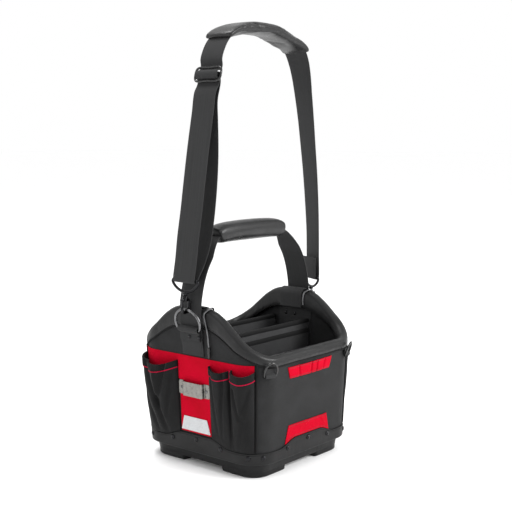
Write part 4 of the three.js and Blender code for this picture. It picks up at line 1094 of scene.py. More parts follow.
def positions(data: bpy.types.Mesh) -> Array:
    """Gives a mesh's vertices as rows.

    Args:
        data: The mesh.

    Returns:
        One row of coordinates for each vertex.
    """
    flat = np.empty(len(data.vertices) * 3)
    data.vertices.foreach_get("co", flat)
    return flat.reshape(-1, 3)


# The wall and the cloth on it


@dataclass(frozen=True)
class Wall:
    """Outline of the leaning wall and the heights that follow it."""

    length: float = 271.0
    width: float = 273.0
    radius: float = 44.0
    flare: float = 7.5
    lip_low: float = 47.0
    lip_rise: float = 12.0
    lip_crest_half: float = 32.0
    lip_slope_end: float = 80.0
    rim_low: float = 212.0
    rim_rise: float = 74.0
    rim_thickness: float = 20.0
    rim_proud: float = 2.0
    band_low: float = 19.0
    band_peak: float = 36.0
    flat_half: float = 25.0
    slope_end: float = 160.0
    ripple: float = 1.1

    @property
    def straight_x(self) -> float:
        """Length of the front's flat part."""
        return self.length - 2 * self.radius

    @property
    def straight_y(self) -> float:
        """Length of a pocket face's flat part."""
        return self.width - 2 * self.radius

    @property
    def arc(self) -> float:
        """Length of a corner."""
        return math.pi / 2 * self.radius

    @property
    def girth(self) -> float:
        """Length of the whole outline."""
        return 2 * (self.straight_x + self.straight_y) + 4 * self.arc

    @property
    def corner(self) -> float:
        """Place of the first corner's middle."""
        return (self.straight_y + self.arc) / 2

    def face(self, quarter: int) -> float:
        """Place of a face's middle, from 0 for near over front and far to 3 for back."""
        return quarter * self.girth / 4

    def lean(self, z: float) -> float:
        """How far the wall has leaned out at a height."""
        return self.flare / (self.rim_low - self.lip_low) * (z - self.lip_low)

    def away(self, place: float, quarters: Sequence[int]) -> float:
        """Distance from the middle of the closest of the given faces."""
        gaps = [(place - self.face(q)) % self.girth for q in quarters]
        return min(min(gap, self.girth - gap) for gap in gaps)

    def peak(self, place: float) -> float:
        """Share of the rim's rise at a place."""
        return ease_down(self.away(place, (0, 2)), self.flat_half, self.slope_end)

    def crest(self, place: float) -> float:
        """Height of the rim's crest."""
        return self.rim_low + self.rim_rise * self.peak(place)

    def top(self, place: float) -> float:
        """Height of the wall's edge under the rim."""
        peak = self.peak(place)
        return self.crest(place) - self.band_low - (self.band_peak - self.band_low) * peak

    def lip(self, place: float) -> float:
        """Height of the base's lip."""
        away = self.away(place, (0, 1, 2, 3))
        return self.lip_low + self.lip_rise * ease_down(away, self.lip_crest_half, self.lip_slope_end)

    def slack(self, place: float, z: float) -> float:
        """Gives the soft waves of the cloth on the front and back faces.

        Args:
            place: The place along the outline.
            z: The height.

        Returns:
            How far the cloth stands out.
        """
        fade = ease_down(self.away(place, (1, 3)), 50, 110)
        if fade <= 0 or not self.lip_low < z < self.rim_low:
            return 0.0
        share = (z - self.lip_low) / (self.rim_low - self.lip_low)
        wave = noise.noise(Vector((place * 0.016, z * 0.013, 3.1)))
        return self.ripple * fade * math.sin(math.pi * share) ** 0.6 * (wave - 0.35)

    def point(self, place: float, z: float, out: float = 0.0) -> Array:
        """Gives a point on the wall.

        Args:
            place: Its place along the outline.
            z: Its height.
            out: Its distance out of the wall.

        Returns:
            The point.
        """
        x, y = self.straight_x, self.straight_y
        sides = (
            (y, (-1, 0), (-x / 2, y / 2), (0, -1)),
            (x, (0, -1), (-x / 2, -y / 2), (1, 0)),
            (y, (1, 0), (x / 2, -y / 2), (0, 1)),
            (x, (0, 1), (x / 2, y / 2), (-1, 0)),
        )
        left = (place + y / 2) % self.girth
        reach = self.radius + self.lean(z) + out + self.slack(place, z)
        for length, normal, start, along in sides:
            if left <= length + self.arc:
                run = min(left, length)
                angle = max(left - length, 0.0) / self.radius
                cos, sin = math.cos(angle), math.sin(angle)
                return np.array((
                    start[0] + along[0] * run + reach * (normal[0] * cos + along[0] * sin),
                    start[1] + along[1] * run + reach * (normal[1] * cos + along[1] * sin),
                    z,
                ))
            left -= length + self.arc
        return self.point(0.0, z, out)

    def frame(self, place: float, z: float, out: float = 0.0) -> Matrix:
        """Gives a frame on the wall: X along the outline, Y up the wall, Z out of it.

        Args:
            place: Its place along the outline.
            z: Its height.
            out: Its distance out of the wall.

        Returns:
            The frame's matrix.
        """
        along = Vector(self.point(place + 1, z) - self.point(place - 1, z)).normalized()
        rise = Vector(self.point(place, z + 1) - self.point(place, z - 1)).normalized()
        made = Matrix((along, rise, along.cross(rise).normalized())).transposed().to_4x4()
        made.translation = Vector(self.point(place, z, out))
        return made

    def round_rim(self, place: float, angle: float, drop: float, lift: float) -> Array:
        """Gives a point round the rim's section.

        Args:
            place: The place along the outline.
            angle: Degrees round the crest, 0 outside and 180 inside.
            drop: How far below the round part it lies.
            lift: Its distance from the surface.

        Returns:
            The point.
        """
        radius = self.rim_thickness / 2
        turn = math.radians(angle)
        out = self.rim_proud - radius + (radius + lift) * math.cos(turn)
        return self.point(place, self.crest(place) - radius + (radius + lift) * math.sin(turn) - drop, out)

    def around(self, count: int) -> list[float]:
        """Gives evenly spaced places round the whole outline."""
        return [self.girth * i / count for i in range(count)]


@dataclass(frozen=True)
class Fold:
    """Crease in a sheet between two points, given as shares of its width and height.

    The depth is in millimetres, less than zero for a valley, and fades from start to end.
    """

    start: tuple[float, float]
    end: tuple[float, float]
    width: float
    depth: float

    def lift(self, u: float, v: float) -> float:
        """Gives the crease's lift at a point of the sheet.

        Args:
            u: Share of the width.
            v: Share of the height.

        Returns:
            The lift in millimetres.
        """
        across, rise = self.end[0] - self.start[0], self.end[1] - self.start[1]
        share = ((u - self.start[0]) * across + (v - self.start[1]) * rise) / (across ** 2 + rise ** 2)
        share = min(max(share, 0.0), 1.0)
        away = math.hypot(u - self.start[0] - share * across, v - self.start[1] - share * rise)
        return self.depth * math.exp(-(away / self.width) ** 2) * (1 - share) ** 0.6


@dataclass
class WallCloth:
    """Sheet of cloth on the wall, between two places and two heights."""

    wall: Wall
    start: Callable[[float], float]
    end: Callable[[float], float]
    low: Field
    high: Field
    out: float
    thickness: float
    bulge: Field = lambda u, v: 0.0
    folds: tuple[Fold, ...] = ()
    wrinkle: float = 0.25
    grain: float = 0.045

    def point(self, u: float, v: float, lift: float = 0.0) -> Array:
        """Gives a point of the sheet.

        Args:
            u: Share along the outline.
            v: Share of the height.
            lift: Distance from the sheet's inner side.

        Returns:
            The point.
        """
        place = self.start(v) + (self.end(v) - self.start(v)) * u
        low, high = self.low(u, place), self.high(u, place)
        z = low + (high - low) * v
        edge = math.sin(math.pi * min(max(u, 0.0), 1.0)) ** 0.5
        rough = noise.noise(Vector((place * self.grain, z * self.grain, self.out))) + 0.5
        extra = self.bulge(u, v) + edge * sum(fold.lift(u, v) for fold in self.folds)
        return self.wall.point(place, z, self.out + max(extra + self.wrinkle * rough * edge, 0.0) + lift)

    def grid(self, columns: int, rows: int, lift: float, low: float = 0.0, high: float = 1.0) -> Array:
        """Gives a grid of the sheet's points.

        Args:
            columns: Steps along the outline.
            rows: Steps of height.
            lift: Distance from the sheet's inner side.
            low: Where it starts, as a share of the height.
            high: Where it ends.

        Returns:
            The points.
        """
        return np.array([
            [self.point(u, v, lift) for v in np.linspace(low, high, rows + 1)]
            for u in np.linspace(0, 1, columns + 1)
        ])

    def skin(self, columns: int, rows: int, low: float = 0.0, high: float = 1.0,
             grow: float = 0.0) -> Skin:
        """Makes the closed sheet.

        Args:
            columns: Steps along the outline.
            rows: Steps of height.
            low: Where it starts, as a share of the height.
            high: Where it ends.
            grow: Extra thickness on both sides, for a binding.

        Returns:
            The sheet.
        """
        outer = self.grid(columns, rows, self.thickness + grow, low, high)
        inner = self.grid(columns, rows, -grow, low, high)
        made = Skin()
        made.sheet(outer, inner, lengths(outer[:, rows // 2]), lengths(outer[columns // 2]))
        return made

    def declare(self, made: bpy.types.Object, held: Held, others: Sequence[bpy.types.Object] = ()) -> None:
        """Args:
            made: The piece.
            held: How the sheet is held; not used.
            others: Pieces that are sewn on it; not used.
        """
        points = self.grid(*CUT_STEPS, self.thickness / 2)
        width = max(lengths(line)[-1] for line in points.transpose(1, 0, 2)) * MM
        height = max(lengths(line)[-1] for line in points) * MM
        right = points[1:, :-1] - points[:-1, :-1]
        up = points[:-1, 1:] - points[:-1, :-1]
        area = float(np.linalg.norm(np.cross(right, up), axis=2).sum()) * MM ** 2
        area = min(max(area, LEAST_AREA * width * height), width * height)
        LOG.info("%s: cut %.0f by %.0f mm", made.name, width / MM, height / MM)


# Straps


@dataclass(frozen=True)
class Row:
    """Point of a strap's middle line, with its turn about the upright and its share of the width."""

    x: float
    z: float
    y: float = 0.0
    yaw: float = 0.0
    wide: float = 1.0


class Curve:
    """Smooth curve through points, faster where they lie further apart."""

    def __init__(self, points: Sequence[Sequence[float]], loop: bool = False) -> None:
        """Sets the points.

        Args:
            points: The points that it runs through.
            loop: Joins its end to its start.
        """
        self.points = [np.array(point, dtype=float) for point in points]
        self.loop = loop
        self.spans = len(points) if loop else len(points) - 1

    def knot(self, index: int) -> Array:
        """Gives one of the points, also past the ends.

        Args:
            index: Its number.

        Returns:
            The point.
        """
        last = len(self.points) - 1
        if self.loop:
            return self.points[index % len(self.points)]
        if index < 0:
            return 2 * self.points[0] - self.points[1]
        if index > last:
            return 2 * self.points[last] - self.points[last - 1]
        return self.points[index]

    def at(self, index: float) -> Array:
        """Gives the point at a number between two of its points.

        Args:
            index: The number, whole at each of its points.

        Returns:
            The point.
        """
        start = min(int(index), self.spans - 1)
        share = index - start
        before, first, second, after = (self.knot(start + step) for step in (-1, 0, 1, 2))
        middle = max(math.dist(first, second) ** 0.5, 1e-4)
        lead = math.dist(before, first) ** 0.5 or middle
        tail = math.dist(second, after) ** 0.5 or middle
        leave = (first - before) / lead - (second - before) / (lead + middle) + (second - first) / middle
        reach = (second - first) / middle - (after - first) / (middle + tail) + (after - second) / tail
        leave, reach = leave * middle, reach * middle
        square = -3 * first + 3 * second - 2 * leave - reach
        cube = 2 * first - 2 * second + leave + reach
        return first + share * (leave + share * (square + share * cube))

    def line(self, steps: int) -> Array:
        """Gives points along the whole curve, with a number of steps for each span."""
        count = self.spans * steps
        return np.array([self.at(i / steps) for i in range(count if self.loop else count + 1)])


class StrapPath:
    """Route of a strap with its width's direction."""

    def __init__(self, rows: Sequence[Row]) -> None:
        """Sets the rows.

        Args:
            rows: The rows that it runs through.
        """
        self.rows = list(rows)
        self.curve = Curve([(row.x, row.y, row.z) for row in rows])
        self.last = len(rows) - 1

    def at(self, index: float) -> tuple[Array, Array, Array, float]:
        """Gives the strap's place and directions at a number between two rows.

        Args:
            index: The number, whole at each row.

        Returns:
            The place, the width's direction, the face's direction and the share of the width.
        """
        low, high = max(index - 0.02, 0.0), min(index + 0.02, float(self.last))
        along = self.curve.at(high) - self.curve.at(low)
        along /= np.linalg.norm(along)
        start = min(int(index), self.last - 1)
        share = index - start
        here, there = self.rows[start], self.rows[start + 1]
        yaw = math.radians(here.yaw + (there.yaw - here.yaw) * share)
        side = np.array((-math.sin(yaw), math.cos(yaw), 0.0))
        side -= along * side.dot(along)
        side /= np.linalg.norm(side)
        wide = here.wide + (there.wide - here.wide) * share
        return self.curve.at(index), side, np.cross(along, side), wide

    def point(self, index: float, across: float, out: float) -> Array:
        """Gives a point beside the middle line."""
        at, side, face, _ = self.at(index)
        return at + side * across + face * out

    def ribbon(self, start: float, end: float, width: float, thickness: float, steps: int = 8,
               cup: float = 0.0) -> Skin:
        """Makes a strap with rounded edges.

        Args:
            start: Where it starts along the rows.
            end: Where it ends.
            width: Its width.
            thickness: Its thickness.
            steps: How many steps each row gets.
            cup: How much its middle is raised.

        Returns:
            The strap.
        """
        indices = np.linspace(start, end, max(int((end - start) * steps), 2) + 1)
        flat = np.linspace(-1, 1, 13)
        rings = []
        for index in indices:
            at, side, face, wide = self.at(index)
            half = width * wide / 2
            ring = []
            for sign in (1, -1):
                for share in flat * sign:
                    edge = thickness / 2 * (1 - 0.45 * abs(share) ** 8)
                    bow = cup * (1 - share ** 2)
                    ring.append(at + side * share * half + face * (sign * edge + bow))
            rings.append(ring)
        rings = np.array(rings)
        made = Skin()
        across = np.concatenate([(flat + 1) * width / 2, (flat + 1) * width / 2 + width, [2 * width]])
        made.form(rings, lengths(rings[:, 6]), across[:rings.shape[1] + 1])
        return made

    def sleeve(self, start: float, end: float, width: float, height: float,
               fullness: Callable[[float], tuple[float, float]], power: float = 0.7,
               steps: int = 8) -> Skin:
        """Makes a closed padded form round a strap.

        Args:
            start: Where it starts along the rows.
            end: Where it ends.
            width: Its width.
            height: Its height.
            fullness: Shares of the width and height at a share of its length.
            power: How square its section is.
            steps: How many steps each row gets.

        Returns:
            The form.
        """
        count = int((end - start) * steps)
        rings = []
        for i in range(count + 1):
            at, side, face, _ = self.at(start + (end - start) * i / count)
            wide, high = fullness(i / count)
            ring = []
            for turn in np.arange(40) * 2 * math.pi / 40:
                cos, sin = math.cos(turn), math.sin(turn)
                ring.append(at + side * width / 2 * wide * math.copysign(abs(cos) ** power, cos)
                            + face * height / 2 * high * math.copysign(abs(sin) ** power, sin))
            rings.append(ring)
        rings = np.array(rings)
        made = Skin()
        made.form(rings, lengths(rings[:, 0]), np.arange(41) * (width + height) / 20)
        return made


# Sub-assemblies


@dataclass
class SubAssembly:
    """Part of the tote that is built on the bench."""

    bench: Bench
    sewing: Sewing
    wall: Wall


@dataclass
class BaseTray(SubAssembly):
    """Moulded base: tray, wavy lip, corner feet and rivets."""

    floor: float = TRAY_FLOOR
    arch: float = 9.0
    foot: float = 78.0
    slope: float = 5.0
    inset: float = 8.0
    draft: float = 2.0
    lip_bottom: float = 27.0
    lip_wall: float = 2.5
    gap: float = GAP
    rivet: float = 4.5
    rivet_height: float = 2.4
    pitch: float = 57.0
    drop: float = 8.0
    rivets_each: int = 5
    foot_corner: float = 5.0
    steps: int = 240

    def build(self) -> None:
        """Builds the base."""
        made = Skin()
        places = self.wall.around(self.steps)
        edge = self.gap + self.lip_wall
        profile = [
            (lambda p: self.arch, -self.inset - self.draft - 1.2),
            (lambda p: self.arch + 1.2, -self.inset - self.draft),
            (lambda p: self.lip_bottom - self.lip_wall, -self.inset),
            (lambda p: self.lip_bottom - 0.6, -self.inset / 2 - 1),
            (lambda p: self.lip_bottom - 0.4, edge - 1.2),
            (lambda p: self.lip_bottom + 0.4, edge - 0.2),
            (lambda p: self.lip_bottom + 1.6, edge + 0.2),
            (lambda p: self.wall.lip(p) - 3.4, edge + 0.2),
            (lambda p: self.wall.lip(p) - 3.0, edge - 0.25),
            (lambda p: self.wall.lip(p) - 2.4, edge - 0.25),
            (lambda p: self.wall.lip(p) - 2.0, edge + 0.35),
            (lambda p: self.wall.lip(p) - 0.7, edge + 0.35),
            (lambda p: self.wall.lip(p), edge - 0.5),
            (lambda p: self.wall.lip(p), self.gap),
            (lambda p: self.floor, self.gap),
        ]
        rings = np.array([[self.wall.point(p, height(p), out) for p in places] for height, out in profile])
        across = [*places, self.wall.girth]
        made.form(rings, lengths(rings[:, 0]), across)
        for x, y in ((-1, -1), (1, -1), (1, 1), (-1, 1)):
            self.add_foot(made, x, y)
        self.bench.piece("base_moulding", made, "base_plastic", replaces=("base_tray",))
        seats = []
        for quarter in range(4):
            for i in range(self.rivets_each):
                place = self.wall.face(quarter) + (i - self.rivets_each // 2) * self.pitch
                seats.append(self.wall.frame(place, self.wall.lip(place) - self.drop, edge + 0.2))
        self.sewing.rivets("base_rivets", seats, "dark_metal", "base_plastic", self.rivet, self.rivet_height)

    def add_foot(self, made: Skin, x: int, y: int) -> None:
        """Adds a corner foot.

        Args:
            made: The skin that it joins.
            x: Its side along X.
            y: Its side along Y.
        """
        lean = self.wall.lean(0)
        outer = (self.wall.length / 2 - self.inset - self.draft + lean,
                 self.wall.width / 2 - self.inset - self.draft + lean)
        radius = self.wall.radius - self.inset - self.draft + lean
        rings = []
        sections = (
            (0, 0, -self.draft - 0.6), (0.8, 0.2, -self.draft + 0.4), (2, self.slope / 4, 0),
            (self.lip_bottom - self.lip_wall, self.slope, 0),
        )
        for z, inset, grow in sections:
            far = (outer[0] + grow, outer[1] + grow)
            near = (outer[0] - self.foot - inset, outer[1] - self.foot - inset)
            small = self.foot_corner
            corners = (
                ((near[0] + small, near[1] + small), small, 180),
                ((far[0] - small, near[1] + small), small, 270),
                ((far[0] - radius, far[1] - radius), radius, 0),
                ((near[0] + small, far[1] - small), small, 90),
            )
            ring = []
            for (cx, cy), size, first in corners:
                for turn in np.radians(first + np.linspace(0, 90, 13)):
                    ring.append((x * (cx + size * math.cos(turn)), y * (cy + size * math.sin(turn)), z))
            rings.append(ring)
        rings = np.array(rings, dtype=float)
        loop = np.vstack([rings[-1], rings[-1][:1]])
        made.form(rings, lengths(rings[:, 0]), lengths(loop))


@dataclass
class BodyShell(SubAssembly):
    """Stiff fabric walls and floor with bound corner seams."""

    floor: float = TRAY_FLOOR + GAP
    thickness: float = 3.0
    seam: float = 2.3
    seam_out: float = 1.6
    steps: int = 280

    def build(self) -> None:
        """Builds the walls and the seams."""
        places = self.wall.around(self.steps)
        shares = np.linspace(0, 1, 25)
        rings = [[self.wall.point(p, self.floor + (self.wall.top(p) - self.floor) * s) for p in places]
                 for s in shares]
        inside = [[self.wall.point(p, self.floor + self.thickness
                                   + (self.wall.top(p) - self.floor - self.thickness) * s, -self.thickness)
                   for p in places] for s in shares[::-1]]
        rings = np.array(rings + inside)
        made = Skin()
        across = [*places, self.wall.girth]
        made.form(rings, lengths(rings[:, 0]), across)
        self.bench.piece("body_cloth", made, "black_fabric", replaces=("body_shell",), crease=SHEET_CREASE)
        for name, place in self.corners().items():
            heights = np.linspace(self.wall.lip(place) + 1, self.wall.top(place) + 1, 60)
            path = np.array([self.wall.point(place, z, self.seam_out) for z in heights])
            piping = Skin()
            piping.tube(path, self.seam, sides=14)
            self.bench.piece(name, piping, "binding", "black_fabric")

    def corners(self) -> dict[str, float]:
        """Gives the place of each corner's seam.

        Returns:
            The places by their pieces' names.
        """
        wall = self.wall
        near, far = wall.corner, wall.face(2) - wall.corner
        return {
            "corner_piping_near_front": near,
            "corner_piping_near_back": wall.girth - near,
            "corner_piping_far_front": far,
            "corner_piping_far_back": wall.face(2) + wall.corner,
        }


@dataclass
class Rim(SubAssembly):
    """Padded rim: a coated roll over a band, with piping along the band's foot."""

    seat: float = 0.85
    puff: float = 0.9
    crumple: float = 0.55
    pinch: float = 1.2
    piping: float = 1.5
    piping_out: float = 1.6
    stitch_lift: float = 4.2
    steps: int = 420

    def swell(self, share: float) -> float:
        """Gives how far a flank stands out at a share of its height, less where its foot is sewn."""
        return self.puff * math.sin(math.pi * share) ** 0.6 - self.pinch * math.exp(-(share * 9) ** 2)

    def section(self, place: float) -> list[Array]:
        """Gives the points of the rim's section.

        Args:
            place: The place along the outline.

        Returns:
            The points, from the outer foot over the crest to the inner one.
        """
        wall = self.wall
        radius = wall.rim_thickness / 2
        crest, foot = wall.crest(place), wall.top(place) + self.seat
        shoulder = max(crest - radius, foot + 0.5)
        points = []

        def add(out: float, z: float, swell: float) -> None:
            """Adds a point of a flank, with the cloth's roughness.

            Args:
                out: Its distance from the wall.
                z: Its height.
                swell: How far it swells.
            """
            rough = noise.noise(Vector((place * 0.06, z * 0.05, out * 0.05)))
            crease = noise.noise(Vector((place * 0.16, z * 0.045, 7.0)))
            grow = swell + self.crumple * (rough + 0.5 * crease)
            middle = wall.rim_proud - radius
            side = 1 if out > middle else -1
            points.append(wall.point(place, z, out + side * max(grow, -0.6)))

        for share in np.linspace(0, 1, 9)[:-1]:
            add(wall.rim_proud, foot + (shoulder - foot) * share, self.swell(share))
        for angle in np.linspace(0, 180, 19):
            turn = math.radians(angle)
            rough = noise.noise(Vector((place * 0.06, angle * 0.02, 4.0)))
            grow = radius + self.crumple * rough
            points.append(wall.point(
                place, shoulder + grow * math.sin(turn) * (crest - shoulder) / radius,
                wall.rim_proud - radius + grow * math.cos(turn)))
        for share in np.linspace(1, 0, 9)[1:]:
            add(wall.rim_proud - wall.rim_thickness, foot + (shoulder - foot) * share, self.swell(share))
        return points

    def build(self) -> None:
        """Builds the rim, its piping and its stitches."""
        places = self.wall.around(self.steps)
        rings = np.array([self.section(place) for place in places])
        made = Skin()
        along = [*places, self.wall.girth]
        loop = np.vstack([rings[0], rings[0][:1]])
        made.grid(rings, along, lengths(loop), loop_rows=True, loop_columns=True)
        rim = self.bench.piece("rim_roll", made, "padded_fabric",
                               replaces=("rim_padding",), crease=70)
        path = np.array([self.wall.point(p, self.wall.top(p) + 0.4, self.piping_out) for p in places])
        piping = Skin()
        piping.tube(path, self.piping, sides=12, loop=True)
        self.bench.piece("rim_piping", piping, "binding", "black_fabric")
        line = np.array([self.wall.point(p, self.wall.top(p) + self.stitch_lift, 2.35)
                         for p in places + places[:1]])
        self.sewing.stitches("rim_stitches", [line], "padded_fabric", 4.5)


@dataclass
class WallPanels(SubAssembly):
    """Red panels, reflective patches and the red patches of the front."""

    thickness: float = 1.0
    on_wall: float = 0.3
    on_panel: float = PANEL_FACE
    band: tuple[float, float] = (155.0, 199.0)
    half: float = CENTRE_HALF
    bottom: float = 62.0
    margin: float = CLOTH_MARGIN
    reflector: tuple[float, float] = (65.0, 25.0)
    reflector_widths: tuple[float, float] = (68.0, 54.0)
    upper: tuple[float, float] = (187.0, 20.0)
    upper_widths: tuple[float, float] = (112.0, 125.0)
    lower_top: float = 83.0
    lower_widths: tuple[float, float] = (125.0, 108.0)

    def cloth(self, middle: float, widths: tuple[float, float], low: Field, high: Field, out: float,
              folds: tuple[Fold, ...] = (), wrinkle: float = 0.25) -> WallCloth:
        """Gives a sheet round a middle.

        Args:
            middle: The place of its middle.
            widths: Its widths at the bottom and the top.
            low: Its lower edge.
            high: Its upper edge.
            out: Its distance from the wall.
            folds: Its creases.
            wrinkle: The height of its wrinkles.

        Returns:
            The sheet.
        """
        def half(v: float) -> float:
            """Gives half the width at a share of the height."""
            return (widths[0] + (widths[1] - widths[0]) * v) / 2
        return WallCloth(self.wall, lambda v: middle - half(v), lambda v: middle + half(v), low, high, out,
                         self.thickness, folds=folds, wrinkle=wrinkle)

    def lay(self, name: str, cloth: WallCloth, steps: tuple[int, int], node: str,
            finish: str = "red_fabric") -> None:
        """Args:
            name: The piece's name.
            cloth: The sheet.
            steps: Its steps along the outline and up.
            node: The CAD node that it stands for.
            finish: The finish.
        """
        made = self.bench.piece(name, cloth.skin(*steps), finish, replaces=(node,))
        cloth.declare(made, Held.STRETCHED)

    def build(self) -> None:
        """Builds all panels."""
        low, high = self.band
        wide = 2 * (self.wall.corner - self.margin)
        for side, quarter in Side.both():
            middle = self.wall.face(quarter)
            node = f"{side}_red_panel"
            band = self.cloth(middle, (wide, wide), lambda u, p: low, lambda u, p: high, self.on_wall)
            self.lay(f"{side}_red_band", band, (150, 16), node)
            centre = self.cloth(middle, (2 * self.half, 2 * self.half), lambda u, p: self.bottom,
                                lambda u, p: low, self.on_wall)
            self.lay(f"{side}_red_centre", centre, (40, 40), node)
            bottom, height = self.reflector
            tape = self.cloth(middle, self.reflector_widths, lambda u, p: bottom,
                              lambda u, p: bottom + height, self.on_panel, wrinkle=0.1)
            self.lay(f"{side}_reflector", tape, (40, 16), f"{side}_reflective_patch", "reflective_tape")
        self.front()

    def front(self) -> None:
        """Builds the two patches of the front."""
        middle = self.wall.face(1)
        top, height = self.upper
        folds = (Fold((0.5, 1.8), (0.5, -1.4), 0.8, 3.6),) + tuple(
            Fold((at, 1.8), (at - 0.02, -1.4), 0.014, -3.8) for at in (0.24, 0.52, 0.66, 0.84)
        )
        upper = self.cloth(middle, self.upper_widths, lambda u, p: top - height, lambda u, p: top,
                           self.on_wall, folds, 0.5)
        self.lay("front_red_upper", upper, (180, 14), "front_patch_upper")
        folds = (
            Fold((0.97, 0.1), (0.8, 0.95), 0.025, 1.6),
            Fold((0.04, 0.2), (0.12, 0.9), 0.02, 1.0),
            Fold((0.5, 1.0), (0.46, 0.3), 0.03, 0.7),
            Fold((0.3, 0.0), (0.36, 0.8), 0.03, 0.6),
            Fold((0.88, 1.4), (0.88, -1.0), 0.055, 2.0),
        )
        lower = self.cloth(middle, self.lower_widths, lambda u, p: self.wall.lip(p) + 0.9,
                           lambda u, p: self.lower_top, self.on_wall, folds, 0.4)
        self.lay("front_red_lower", lower, (120, 24), "front_patch_lower")
        edges = []
        for cloth in (upper, lower):
            for v in (0.1, 0.9):
                edges.append(np.array([cloth.point(u, v, 1.1) for u in np.linspace(0.02, 0.98, 90)]))
        self.sewing.stitches("front_patch_stitches", edges, "red_fabric", 3.6)


@dataclass
class Pockets(SubAssembly):
    """Pockets of the near and far faces with bound mouths and red piping."""

    thickness: float = 1.6
    out: float = 1.6
    top: float = 188.0
    margin: float = CLOTH_MARGIN
    centre_half: float = CENTRE_HALF
    large_sag: float = 12.0
    large_bulge: float = 20.0
    double_sag: float = 7.0
    double_bulge: float = 12.0
    fold: float = 0.56
    binding: float = 12.0
    binding_grow: float = 1.4
    cord: float = 1.0
    fold_cord: float = 1.4
    rise_power: float = 0.8

    def cell(self, u: float) -> float:
        """Gives the share across one cell of the double pocket."""
        return u / self.fold if u < self.fold else (u - self.fold) / (1 - self.fold)

    def large(self, middle: float) -> WallCloth:
        """Gives the large pocket of a face.

        Args:
            middle: The place of the face's middle.

        Returns:
            The pocket's sheet.
        """
        folds = (
            Fold((0.26, 1.0), (0.52, 0.36), 0.055, -9.0),
            Fold((0.76, 1.0), (0.5, 0.4), 0.055, -8.0),
            Fold((0.5, 0.9), (0.5, 0.55), 0.06, 3.0),
            Fold((0.46, 0.5), (0.7, 0.0), 0.06, -7.0),
            Fold((0.16, 0.6), (0.44, 0.04), 0.05, -7.0),
            Fold((0.92, 0.8), (0.7, 0.2), 0.045, -5.0),
            Fold((0.08, 0.9), (0.22, 0.3), 0.04, -5.0),
        )
        return WallCloth(
            self.wall,
            lambda v: middle - self.wall.corner + self.margin,
            lambda v: middle - self.centre_half - self.margin,
            lambda u, p: self.wall.lip(p) + 0.9,
            lambda u, p: self.top - self.large_sag * math.sin(math.pi * u),
            self.out, self.thickness,
            bulge=lambda u, v: (self.large_bulge * math.sin(math.pi * u) ** 0.7
                                * math.sin(math.pi / 2 * v) ** self.rise_power),
            folds=folds, wrinkle=0.9, grain=0.05,
        )

    def double(self, middle: float) -> WallCloth:
        """Gives the double pocket of a face.

        Args:
            middle: The place of the face's middle.

        Returns:
            The pocket's sheet.
        """
        folds = (
            Fold((0.56, 1.2), (0.55, -0.6), 0.028, -14.0),
            Fold((0.9, 0.8), (0.77, 0.42), 0.035, -5.0),
            Fold((0.66, 0.8), (0.77, 0.42), 0.03, -5.0),
            Fold((0.78, 0.95), (0.78, 0.5), 0.04, 2.4),
            Fold((0.1, 0.97), (0.22, 0.1), 0.04, -5.0),
            Fold((0.42, 0.98), (0.32, 0.1), 0.035, -5.0),
            Fold((0.84, 0.4), (0.7, 0.0), 0.04, -3.0),
        )
        return WallCloth(
            self.wall,
            lambda v: middle + self.centre_half + self.margin,
            lambda v: middle + self.wall.corner - self.margin,
            lambda u, p: self.wall.lip(p) + 0.9,
            lambda u, p: self.top - self.double_sag * abs(math.sin(math.pi * self.cell(u))),
            self.out, self.thickness,
            bulge=lambda u, v: (self.double_bulge * abs(math.sin(math.pi * self.cell(u))) ** 0.5
                                * math.sin(math.pi / 2 * v) ** self.rise_power),
            folds=folds, wrinkle=0.7, grain=0.055,
        )

    def build(self) -> None:
        """Builds the pockets of both faces."""
        for side, quarter in Side.both():
            middle = self.wall.face(quarter)
            for kind, cloth in (("large", self.large(middle)), ("double", self.double(middle))):
                name = f"{side}_{kind}_pocket"
                pocket = self.bench.piece(name, cloth.skin(110, 90), "pocket_fabric", "black_fabric",
                                          replaces=(f"{side}_pocket_{kind}",))
                height = self.top - self.wall.lip_low
                rise = 1 - self.binding / height
                bound = cloth.skin(110, 8, rise, 1.006, self.binding_grow)
                hem = self.bench.piece(f"{name}_binding", bound, "binding", "black_fabric")
                low = rise - 0.008
                line = np.array([cloth.point(u, low, self.thickness + 0.5) for u in np.linspace(0, 1, 111)])
                cord = Skin()
                cord.tube(line, self.cord, sides=10)
                if kind == "double":
                    fold = [cloth.point(self.fold, v, self.thickness + 2.2)
                            for v in np.linspace(low, 1.004, 9)]
                    cord.tube(np.array(fold), self.fold_cord, sides=10)
                piping = self.bench.piece(f"{name}_piping", cord, "red_piping", "red_fabric")
                cloth.declare(pocket, Held.GATHERED, (hem, piping))


